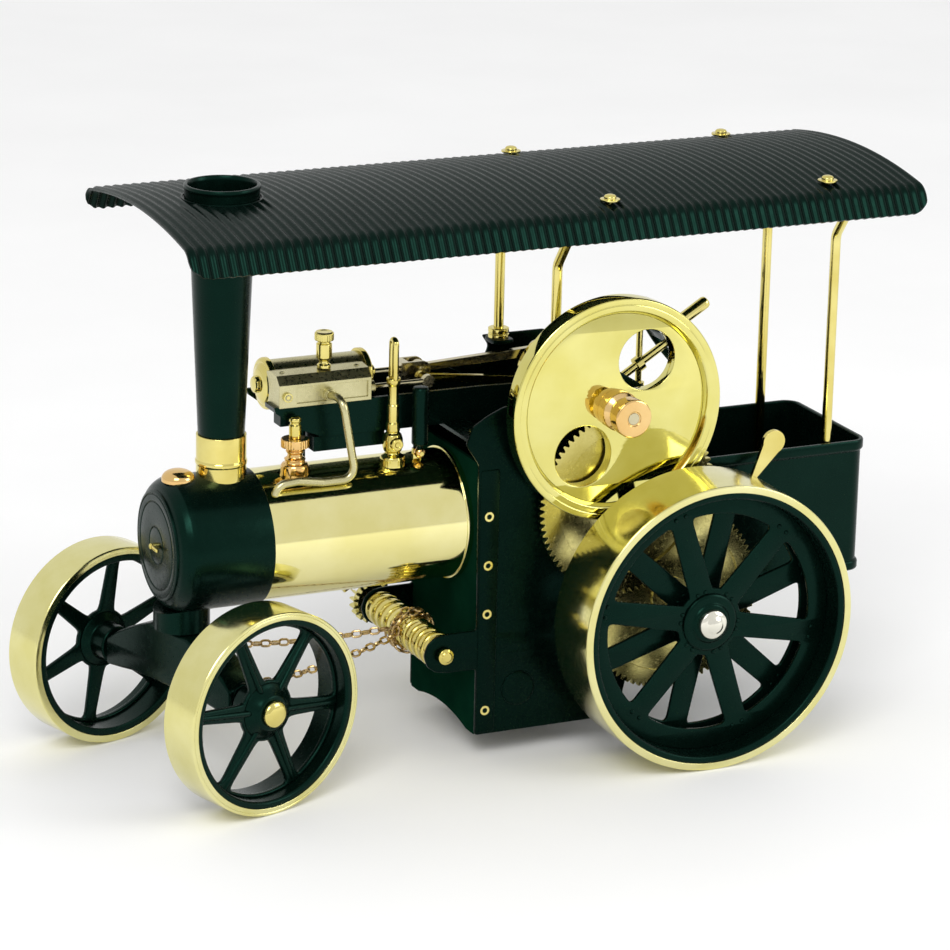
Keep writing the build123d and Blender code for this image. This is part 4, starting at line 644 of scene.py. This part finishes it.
# ---------------------------------------------------------------- flywheel and pulley
crank_base = at(CRANK, 0, CRANK_Z)
HOLE_REACH, HOLE_R = 19.6, 10.6
hole_places = [
    (fwd(CRANK) + HOLE_REACH * cos(radians(a)), CRANK_Z + HOLE_REACH * sin(radians(a)))
    for a in (125, -53)
]
web = pressed(
    [circle(fwd(CRANK), CRANK_Z, 33.6, 128)] + [circle(a, b, HOLE_R, 72) for a, b in hole_places],
    4.8, side_view(33.0 + 2.4), 0.3,
)
rim = turned([
    (33.2, 33.1), (38.6, 33.1), (39.0, 33.5), (39.0, 39.5), (38.6, 39.95), (36.9, 39.95), (36.7, 39.8),
    (36.4, 39.95), (34.7, 39.95), (34.3, 39.6), (33.2, 37.6),
], crank_base, Y, 192, 0.2, closed=True)
finish("flywheel_turned", *join(web, rim), flywheel_brass, "crank", ("flywheel",))
finish("belt_pulley_turned", *turned([
    (2.1, 37.8), (6.9, 37.8), (6.9, 42.0), (6.7, 42.4), (5.3, 43.8), (5.2, 44.3), (5.2, 44.9), (5.3, 45.3),
    (6.4, 46.4), (6.7, 46.7), (6.7, 51.0), (6.5, 51.4), (6.1, 51.6), (2.6, 51.6), (2.5, 51.2), (2.1, 51.2),
], crank_base, Y, 120, 0.15, [(46.9, 50.7, 40, 0.1)]), warm_brass, "crank", ("belt_pulley",))


# ---------------------------------------------------------------- wheels
def windows(count, first, inner, outer, half_inner, half_outer, corner):
    """The openings between a wheel's spokes, as rounded outlines about its centre."""
    found = []
    step = 2 * pi / count
    for number in range(count):
        a, b = radians(first) + step * number, radians(first) + step * (number + 1)
        edge = []
        for k in range(13):
            low = a + asin(half_outer / outer)
            high = b - asin(half_outer / outer)
            angle = low + (high - low) * k / 12
            edge.append((outer * cos(angle), outer * sin(angle)))
        for k in range(5):
            low = a + asin(half_inner / inner)
            high = b - asin(half_inner / inner)
            angle = high + (low - high) * k / 4
            edge.append((inner * cos(angle), inner * sin(angle)))
        found.append(rounded_ends(edge, corner))
    return found


def rounded_ends(edge, corner):
    """Rounds the four main corners of a spoke window."""
    out = []
    sharp = (0, 12, 13, 17)
    count = len(edge)
    for i, point in enumerate(edge):
        if i not in sharp:
            out.append(point)
            continue
        here = Vector(point)
        a, b = Vector(edge[i - 1]) - here, Vector(edge[(i + 1) % count]) - here
        ca, cb = min(corner, a.length * 0.6), min(corner, b.length * 0.6)
        start, end = here + a.normalized() * ca, here + b.normalized() * cb
        for k in range(6):
            t = k / 5
            out.append(tuple(start * (1 - t) ** 2 + here * 2 * t * (1 - t) + end * t**2))
    return out


def wheel_plane(centre, outward):
    """A wheel's face: its own x runs forward and its own y runs up."""
    axis = Vector(outward).normalized()
    forward = (X - axis * X.dot(axis)).normalized()
    matrix = Matrix((forward, Z, forward.cross(Z))).transposed().to_4x4()
    matrix.translation = centre
    return matrix


for side, sign in (("left", 1), ("right", -1)):
    out = sign * Y
    centre = at(0, 0, REAR_R)
    tyre_in = REAR_R - TYRE_T
    low, high = REAR_OUTER_Y - REAR_TYRE_W, REAR_OUTER_Y
    finish(f"rear_tyre_{side}_turned", *turned([
        (tyre_in, low), (REAR_R - 0.3, low), (REAR_R, low + 0.4), (REAR_R, high - 0.4),
        (REAR_R - 0.3, high), (tyre_in, high),
    ], centre, out, 192, 0.2, closed=True), tyre_brass, "rear_wheels", (f"rear_tyre_{side}",))
    parts = [turned([
        (tyre_in, low + 0.3), (tyre_in, high - 0.3), (tyre_in - 0.6, high - 0.1), (tyre_in - 2.0, high - 0.3),
        (tyre_in - 2.4, high - 1.0), (tyre_in - 2.5, high - 8.0), (tyre_in - 2.5, low + 0.5),
        (tyre_in - 1.4, low + 0.2),
    ], centre, out, 160, 0.3, closed=True)]
    for depth, first in ((8.5, 12), (14.5, 42)):
        loops = [circle(0, 0, tyre_in - 2.3, 128)]
        loops += windows(6, first, 12.0, 38.8, 4.4, 4.0, 2.4)
        parts.append(pressed(loops, 1.4, wheel_plane(centre + out * (high - depth - 0.7), out), 0.3))
        for number in range(6):
            turn = radians(first + 60 * number)
            forward, up = X * cos(turn) + Z * sin(turn), -X * sin(turn) + Z * cos(turn)
            for reach, gap in ((40.6, 1.9), (11.0, 1.5)):
                for shift in (gap, -gap):
                    place = centre + out * (high - depth) + forward * reach + up * shift
                    parts.append(rivet(place, out, 0.75, 0.5, 12))
    parts.append(turned([
        (2.4, low), (7.4, low), (7.8, low + 0.5), (7.8, high - 9.4), (10.2, high - 8.5), (10.2, high - 7.7),
        (9.4, high - 7.3), (7.2, high - 7.2), (6.6, high - 6.6), (6.0, high - 6.4), (2.4, high - 6.4),
    ], centre, out, 72, 0.25))
    finish(f"rear_wheel_{side}_spoked", *join(*parts), black_enamel, "rear_wheels", (f"rear_wheel_{side}",))

caps = []
for out in (Y, -Y):
    caps.append(turned([
        (5.3, 58.9), (5.3, 62.0), (5.0, 62.6), (4.0, 63.1), (3.2, 63.3), (2.2, 63.9), (1.1, 64.2), (0, 64.3),
    ], at(0, 0, REAR_R), out, 48, 0.3))
finish("rear_hub_caps_domed", *join(*caps), nickel, "rear_wheels", ("rear_hub_caps",))

front_centre = at(KING_PIN, 0, FRONT_R)
for side, sign, first in (("left", 1, 37), ("right", -1, 11)):
    out = sign * axle_line
    low, high = FRONT_OUTER_Y - FRONT_TYRE_W, FRONT_OUTER_Y
    tyre_in = FRONT_R - TYRE_T
    body = f"front_{side}"
    finish(f"front_tyre_{side}_turned", *turned([
        (tyre_in, low), (FRONT_R - 0.3, low), (FRONT_R, low + 0.4), (FRONT_R, high - 0.4),
        (FRONT_R - 0.3, high),
        (FRONT_R - 0.9, high), (FRONT_R - 1.05, high - 0.15), (FRONT_R - 1.2, high), (tyre_in, high),
    ], front_centre, out, 176, 0.12, closed=True), tyre_brass, body, (f"front_tyre_{side}",))
    parts = [turned([
        (tyre_in, low + 0.3), (tyre_in, high - 0.3), (tyre_in - 1.6, high - 0.3), (tyre_in - 2.3, high - 0.9),
        (tyre_in - 2.5, high - 4.6), (tyre_in - 2.5, low + 0.5), (tyre_in - 1.4, low + 0.3),
    ], front_centre, out, 144, 0.3, closed=True)]
    loops = [circle(0, 0, tyre_in - 2.3, 112)] + windows(6, first + 90, 10.6, 28.9, 3.0, 2.1, 3.6)
    parts.append(pressed(loops, 2.0, wheel_plane(front_centre + out * (high - 6.0), out), 0.6))
    # A cast rib along the middle of each spoke, and a hub that swells out of the ribs.
    for number in range(6):
        turn = radians(first + 90 + 60 * number)
        forward = (X - out * X.dot(out)).normalized() * cos(turn) + Z * sin(turn)
        ends = [
            front_centre + out * (high - 5.6 + 0.9 * (1 - s)) + forward * (7.0 + 22.6 * s)
            for s in (0, 0.25, 0.6, 1)
        ]
        parts.append(tube(ends, 1.05, 12))
    parts.append(turned([
        (1.7, low + 0.2), (6.2, low + 0.2), (6.6, low + 0.7), (6.6, high - 8.6), (9.6, high - 7.2),
        (10.3, high - 6.0),
        (9.8, high - 5.0), (8.2, high - 4.0), (6.9, high - 2.8), (6.0, high - 1.8), (5.4, high - 1.6),
        (1.7, high - 1.6),
    ], front_centre, out, 72, 0.5))
    finish(f"front_wheel_{side}_spoked", *join(*parts), black_enamel, body, (f"front_wheel_{side}",))

parts = []
for out in (axle_line, -axle_line):
    parts.append(turned([
        (0, 20.5), (1.6, 20.5), (1.6, 49.9), (4.7, 49.95), (4.7, 50.8), (4.3, 51.4), (3.4, 51.9),
        (2.0, 52.2), (0, 52.3),
    ], front_centre, out, 56, 0.25))
finish("front_stub_pins", *join(*parts), polished_brass, "front_axle", ("front_axle_pins",))

rolling = Vector((cos(steer), sin(steer), 0))
beam = [
    (-34.4, -5.0), (-34.4, 4.4), (-28, 8.8), (-22, 11.8), (-16, 14.6), (-11, 16.2), (-7, 16.4),
    (7, 16.4), (11, 16.2), (16, 14.6), (22, 11.8), (28, 8.8), (34.4, 4.4), (34.4, -5.0),
    (26, -4.2), (18, -3.2), (-18, -3.2), (-26, -4.2),
]
parts = [pressed([rounded(beam, 1.2)], 12.8, facing(front_centre, rolling, Z), 1.1)]
for reach in (-1, 1):
    # The arms end in round bosses against the hubs.
    parts.append(turned([(0, 31), (5.6, 31), (6.0, 31.6), (6.0, 34.2), (5.6, 34.5), (0, 34.5)],
                        front_centre, axle_line * reach, 48, 0.3))
anchors = [front_centre - rolling * 7.6 + axle_line * 27.0 * sign + Z * (37.0 - FRONT_R) for sign in (1, -1)]
for place in anchors:
    parts.append(turned([
        (0, -3.0), (1.6, -3.0), (1.9, -2.6), (1.9, -2.0), (1.3, -1.6), (1.3, 1.6), (1.9, 2.0),
        (1.9, 2.6), (1.6, 3.0), (0, 3.0),
    ], place, Z, 32, 0.15))
finish("front_axle_casting", *join(*parts), black_enamel, "front_axle", ("front_axle_beam",))

# ---------------------------------------------------------------- cylinder group
cyl_base = Vector((fwd(0), CYL_Y, CYL_Z))
finish("cylinder_turned", *turned([
    (6.0, CYL_REAR), (8.0, CYL_REAR), (8.0, CYL_FRONT), (6.0, CYL_FRONT)
], cyl_base, X, 80, 0.15, closed=True), engine_metal, "frame", ("cylinder_barrel",))
front_cover = turned([
    (0, CYL_FRONT), (9.0, CYL_FRONT), (9.0, CYL_FRONT + 1.4), (8.6, CYL_FRONT + 2.1), (7.6, CYL_FRONT + 2.5),
    (7.2, CYL_FRONT + 2.3), (6.6, CYL_FRONT + 2.9), (5.0, CYL_FRONT + 3.6), (3.4, CYL_FRONT + 3.9),
    (3.0, CYL_FRONT + 3.9), (3.0, CYL_FRONT + 5.0), (2.5, CYL_FRONT + 5.6), (0, CYL_FRONT + 5.8),
], cyl_base, X, 80, 0.2)
rear_cover = turned([
    (1.35, CYL_REAR), (9.0, CYL_REAR), (9.0, CYL_REAR - 1.8), (8.6, CYL_REAR - 2.3), (6.5, CYL_REAR - 2.6),
    (3.2, CYL_REAR - 3.0), (3.0, CYL_REAR - 3.4), (3.0, CYL_REAR - 5.2), (2.7, CYL_REAR - 5.6),
    (1.35, CYL_REAR - 5.6),
], cyl_base, X, 80, 0.2)
finish(
    "cylinder_covers_turned", *join(front_cover, rear_cover), polished_brass, "frame",
    ("cylinder_covers",),
)
finish("lubricator_turned", *turned([
    (0, 136.95), (2.4, 136.95), (2.4, 138.0), (1.8, 138.5), (1.7, 139.4), (2.7, 140.6), (2.7, 145.4),
    (2.2, 145.7), (2.2, 146.2), (3.3, 146.6), (3.3, 149.0), (2.8, 149.6), (1.6, 149.3), (0, 149.3),
], at(118.2, -2.6, 0), Z, 96, 0.2, [(146.5, 149.2, 28, 0.18)]), polished_brass, "frame", ("lubricator",))
finish("safety_valve_turned", *turned([
    (4.8, 102.4), (4.8, 106.0), (4.3, 106.7), (3.6, 107.0), (3.4, 107.8), (3.7, 108.3), (2.7, 109.0),
    (2.5, 110.0),
    (3.2, 111.0), (2.6, 111.6), (3.2, 112.2), (4.8, 112.4), (4.8, 115.2), (4.5, 115.4), (1.3, 115.4),
    (1.3, 107),
], at(131.4, 4.4, 0), Z, 120, 0.2, [(112.3, 115.3, 30, 0.2)]), warm_brass, "frame", ("safety_valve",))
finish("safety_stem_turned", *turned([
    (0, 106), (1.25, 106), (1.25, 115.45), (2.1, 115.45), (2.1, 120.0), (1.7, 120.3), (1.7, 121.1),
    (2.1, 121.4), (2.0, 122.4), (1.5, 123.0), (0, 123.2),
], at(131.4, 4.4, 0), Z, 48, 0.15), polished_brass, "safety", ("safety_stem",))
whistle_base = at(96.0, 5.5, 0)
whistle = turned([
    (4.3, 102.4), (4.3, 105.0), (4.0, 105.8), (3.0, 106.4), (2.5, 107.0), (3.1, 107.8), (3.5, 109.2),
    (3.5, 111.8),
    (3.0, 113.4), (2.2, 114.2), (2.5, 114.8), (2.5, 117.4), (2.1, 117.8), (2.1, 123.6), (1.8, 124.1),
    (1.75, 130.4), (2.3, 131.2), (2.5, 131.8), (2.5, 132.9), (2.2, 133.4), (0, 133.4),
], whistle_base, Z, 96, 0.25, [(102.6, 104.8, 26, 0.15)])
# Its upper tube turns back down on itself.
HAIRPIN_R, HAIRPIN_TOP = 1.4, 145.0
hairpin = [whistle_base + Vector((0, -HAIRPIN_R, z)) for z in (132.8, 139)]
for k in range(17):
    angle = pi - pi * k / 16
    hairpin.append(
        whistle_base + Vector((0, HAIRPIN_R * cos(angle), HAIRPIN_TOP + HAIRPIN_R * sin(angle)))
    )
hairpin += [whistle_base + Vector((0, HAIRPIN_R, z)) for z in (139, 132.8)]
plug = turned([
    (2.2, 2.2), (2.2, 4.2), (1.9, 4.55), (1.0, 4.6), (0.8, 4.3), (0, 4.3),
], whistle_base + Z * 110.6, Y, 40, 0.15)
finish("whistle_turned", *join(whistle, tube(hairpin, 1.15, 20), plug), polished_brass, "frame", ("whistle",))
pipe_run = bent_path([at(*place) for place in (
    (118.6, 4.8, 129.2), (118.1, 13.6, 130.2), (112.9, 13.6, 101.8), (125, 13.6, 101.8), (134, 13.6, 103.2),
    (140.8, 13.6, 102.6), (142.3, 13.3, 99.0),
)], 4.2)
finish("steam_pipe_bent", *tube(pipe_run, 1.4, 24), engine_metal, "frame", ("steam_pipe",))
lever_base = at(86.5, 7.0, 0)
finish("regulator_grip", *turned([
    (1.0, 107.4), (1.0, 108.9), (2.4, 109.1), (2.9, 109.6), (2.9, 128.6), (2.4, 129.5), (1.2, 129.7),
    (0, 129.7),
], lever_base, Z, 48, 0.3), black_enamel, "regulator", ("regulator_lever",))
knob = turned([
    (0, -1.9), (0.9, -1.75), (1.5, -1.2), (1.9, -0.3), (1.9, 0.3), (1.5, 1.2), (0.9, 1.75), (0, 1.9),
], at(86.5, 7.0, 106.2), Z, 32, 0.3)
finish("regulator_ball", *knob, warm_brass, "regulator")
chest_screws = [turned([
    (1.6, 0), (1.6, 0.7), (1.3, 1.0), (0.5, 1.0), (0.4, 0.7), (0, 0.7),
], at(133.9, 3.4, 129.6), Y, 32, 0.1)]
chest_screws += [rivet(at(x, -2.6, 136.4), Z, 1.0, 0.8, 20) for x in (106.4, 133.6)]
chest_screws.append(turned([
    (1.45, 2.8), (2.3, 2.8), (2.3, 4.4), (2.0, 4.6), (1.9, 5.2), (1.45, 5.2),
], at(118.6, 0, 129.2), Y, 32, 0.1, closed=True))
finish("chest_screw_heads", *join(*chest_screws), engine_metal, "frame")

# ---------------------------------------------------------------- steering
drum_profile = [(1.6, -36.0), (1.6, -26.0)]
drum_profile += [(DRUM_R + 0.5, -25.6), (DRUM_R + 0.5, -24.0)]
for rib in range(-4, 5):
    y = rib * 5.2
    drum_profile += [
        (DRUM_R - 1.1, y - 2.1), (DRUM_R - 0.2, y - 1.9), (DRUM_R + 0.4, y - 1.5), (DRUM_R + 0.6, y - 0.8),
        (DRUM_R + 0.6, y + 0.8), (DRUM_R + 0.4, y + 1.5), (DRUM_R - 0.2, y + 1.9), (DRUM_R - 1.1, y + 2.1),
    ]
drum_profile += [
    (DRUM_R + 0.5, 23.8), (DRUM_R + 0.5, 25.8), (1.6, 26.0), (1.6, 28.4), (2.8, 28.5), (2.8, 30.3),
    (1.9, 30.6), (1.6, 31.0), (0, 31.0)
]
drum = turned([(0, -36.0)] + drum_profile, at(DRUM, 0, DRUM_Z), Y, 64, 0.15)
finish("chain_drum_ribbed", *drum, polished_brass, "drum", ("chain_drum",))


def link(centre, along, flat, length=4.2, width=3.1, wire=0.44):
    """One oval link of a chain."""
    side = along.cross(flat).normalized()
    path = []
    straight = (length - width) / 2
    for k in range(16):
        angle = 2 * pi * k / 16
        # Each half of the link is moved out to make its sides straight.
        shift = straight if cos(angle) > 0 else -straight
        path.append(
            centre + along * (shift + (width / 2 - wire) * cos(angle))
            + side * (width / 2 - wire) * sin(angle)
        )
    return tube(path, wire, 7, loop=True)


def chain(points, pitch=3.15):
    """Links along a path, each a quarter turn from the last."""
    lengths = [0]
    for a, b in zip(points, points[1:]):
        lengths.append(lengths[-1] + (b - a).length)
    total = lengths[-1]
    parts = []
    count = int(total / pitch)
    for n in range(count):
        goal = total * (n + 0.5) / count
        i = max(k for k, done in enumerate(lengths[:-1]) if done <= goal)
        a, b = points[i], points[i + 1]
        centre = a.lerp(b, (goal - lengths[i]) / (lengths[i + 1] - lengths[i]))
        along = (b - a).normalized()
        u, v = across(along)
        flat = (u + v if n % 2 else u - v).normalized()
        parts.append(link(centre, along, flat))
    return parts


# Both runs leave the front of the drum and end at the pins behind the front axle.
starts = (at(DRUM + DRUM_R + 1.8, 3.6, DRUM_Z + 0.2), at(DRUM + DRUM_R + 1.8, -2.4, DRUM_Z + 0.6))
SAG = 0.035
for name, start, end in zip(("near", "far"), starts, anchors):
    sag = (end - start).length * SAG
    points = []
    for k in range(41):
        t = k / 40
        points.append(start.lerp(end, t) - Z * sag * 4 * t * (1 - t))
    piece = finish(f"chain_{name}", *join(*chain(points)), chain_metal, None)
    if name == "near":
        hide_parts("steering_chain")
    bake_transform(piece)
COIL_TURNS = 2
coil = []
for k in range(241):
    t = k / 240
    angle = pi / 2 + 2 * pi * COIL_TURNS * t
    coil.append(at(DRUM, -2.6 + 6.4 * t, DRUM_Z) + (Z * cos(angle) + X * sin(angle)) * (DRUM_R + 1.7))
finish("chain_coil", *join(*chain(coil)), chain_metal, "drum")

tilt = Vector((cos(COLUMN_TILT), 0, -sin(COLUMN_TILT)))
column_base = at(STEERING_WHEEL, COLUMN_Y, STEERING_WHEEL_Z)
shaft = turned([
    (0, -2.2), (1.8, -2.2), (2.2, -1.8), (2.2, -1.0), (1.5, -0.8), (1.5, WORM_AT - 4.5), (1.5, WORM_AT + 6.6),
    (1.2, WORM_AT + 7), (0, WORM_AT + 7),
], column_base, tilt, 32, 0.2)


def worm_thread():
    """A single helical ridge round the column's lower end."""
    u, v = across(tilt)
    steps, segments = 90, 40
    verts, faces = [], []
    for i in range(steps + 1):
        along = WORM_AT - 4.5 + 9 * i / steps
        for k in range(segments):
            angle = 2 * pi * k / segments
            wave = 0.5 + 0.5 * cos(2 * pi * (along - WORM_AT) / 2.2 + angle)
            radius = 1.6 + 0.9 * min(1, wave * 1.6)
            if i in (0, steps):
                radius = 1.45
            verts.append(column_base + tilt * along + (u * cos(angle) + v * sin(angle)) * radius)
    for i in range(steps):
        for k in range(segments):
            m = (k + 1) % segments
            faces.append((i * segments + k, (i + 1) * segments + k, (i + 1) * segments + m, i * segments + m))
    return verts, faces


finish(
    "steering_column_and_worm", *join(shaft, worm_thread()), polished_brass, "column",
    ("steering_column",),
)
u, v = Y, tilt.cross(Y)
ring = [
    column_base + (u * cos(2 * pi * k / 96) + v * sin(2 * pi * k / 96)) * (STEERING_WHEEL_R - 1.6)
    for k in range(96)
]
wheel_parts = [tube(ring, 1.55, 16, loop=True)]
loops = [circle(0, 0, STEERING_WHEEL_R - 1.6, 96)] + windows(
    5, 39, 5.4, STEERING_WHEEL_R - 2.8, 2.2, 1.8, 2.4,
)
loops.append(circle(0, 0, 1.5, 24))
wheel_matrix = Matrix((u, v, u.cross(v))).transposed().to_4x4()
wheel_matrix.translation = column_base
wheel_parts.append(pressed(loops, 2.0, wheel_matrix, 0.5))
wheel_parts.append(turned([
    (1.5, -1.4), (4.0, -1.4), (4.4, -1.0), (4.4, 1.0), (4.0, 1.4), (1.5, 1.4),
], column_base, tilt, 40, 0.3, closed=True))
finish("steering_wheel_rim", *join(*wheel_parts), black_enamel, "column", ("steering_wheel",))
turn = radians(39)
grip_base = column_base + (u * cos(turn) + v * sin(turn)) * (STEERING_WHEEL_R - 1.2)
finish("steering_knob", *turned([
    (0, 0.9), (1.1, 0.9), (1.1, -1.0), (1.9, -1.4), (2.3, -3.0), (2.3, -13.6), (1.9, -14.6),
    (1.0, -15.0), (0, -15.0),
], grip_base, tilt, 40, 0.3), polished_brass, "column", ("steering_handle",))

# ---------------------------------------------------------------- CAD pieces that stay
kept = {
    black_enamel: ["firebox_rear_plate", "cylinder_bed", "front_pedestal"],
    # The firebox front plate takes the enamel with painted light in its colour.
    plate_enamel_painted_light: ["firebox_front_plate"],
    engine_metal: ["valve_chest"],
    polished_brass: [
        "column_bearings", "frame_fixings", "crank_disc", "gear_lever", "eccentric_rod",
    ],
    gear_brass: ["lay_gear", "drive_gear", "crank_pinion", "drum_wheel"],
    motion_steel: ["crankshaft", "piston_rod", "connecting_rod", "valve_rod", "rear_axle"],
}
for material, names in kept.items():
    for name in names:
        nodes[name].data.materials.clear()
        nodes[name].data.materials.append(material)


# ---------------------------------------------------------------- floor, light and camera
def build_floor():
    material, tree, shader = new_material("pale_floor")
    grain = add_noise(tree, 8, 3)
    colour = ramp_between(tree, grain, 0.3, 0.7, (0.93, 0.93, 0.93), (0.96, 0.96, 0.96))
    tree.links.new(colour.outputs["Color"], shader.inputs["Base Color"])
    shader.inputs["Roughness"].default_value = 0.7
    mesh = bpy.data.meshes.new("floor")
    mesh.from_pydata([(-6, -6, 0), (6, -6, 0), (6, 6, 0), (-6, 6, 0)], [], [(0, 1, 2, 3)])
    mesh.materials.append(material)
    floor = bpy.data.objects.new("floor", mesh)
    bpy.context.scene.collection.objects.link(floor)


build_floor()

world = bpy.data.worlds.new("studio")
bpy.context.scene.world = world
world.use_nodes = True
world.node_tree.nodes["Background"].inputs["Color"].default_value = (1, 1, 1, 1)
world.node_tree.nodes["Background"].inputs["Strength"].default_value = 0.85


def soft_light(name, place, target, size, power):
    light = bpy.data.lights.new(name, "AREA")
    light.shape = "RECTANGLE"
    light.size, light.size_y = size
    light.energy = power
    lamp = bpy.data.objects.new(name, light)
    bpy.context.scene.collection.objects.link(lamp)
    lamp.location = place
    lamp.rotation_euler = (Vector(target) - Vector(place)).to_track_quat("-Z", "Y").to_euler()


soft_light("key", (0.9, 1.2, 1.5), (0, 0, 0.08), (0.9, 0.9), 16)
soft_light("fill", (-1.2, 1.0, 0.7), (0, 0, 0.08), (0.7, 0.7), 6)

camera_data = bpy.data.cameras.new("camera")
camera = bpy.data.objects.new("camera", camera_data)
bpy.context.scene.collection.objects.link(camera)
camera_data.lens = 155.38
camera_data.sensor_width = 36
camera_data.clip_start = 0.01
camera_data.clip_end = 20
right = Vector((-0.906976, 0.420604, 0.022078))
up = Vector((-0.105780, -0.278212, 0.954678))
back = Vector((0.407683, 0.863534, 0.296823))
pose = Matrix((right, up, back)).transposed().to_4x4()
pose.translation = Vector((639.627 + REAR_AXLE_X, 1223.171, 513.863)) / 1000
camera.matrix_world = pose
bpy.context.scene.camera = camera
bpy.context.scene.view_settings.view_transform = "Standard"

bpy.context.view_layer.update()
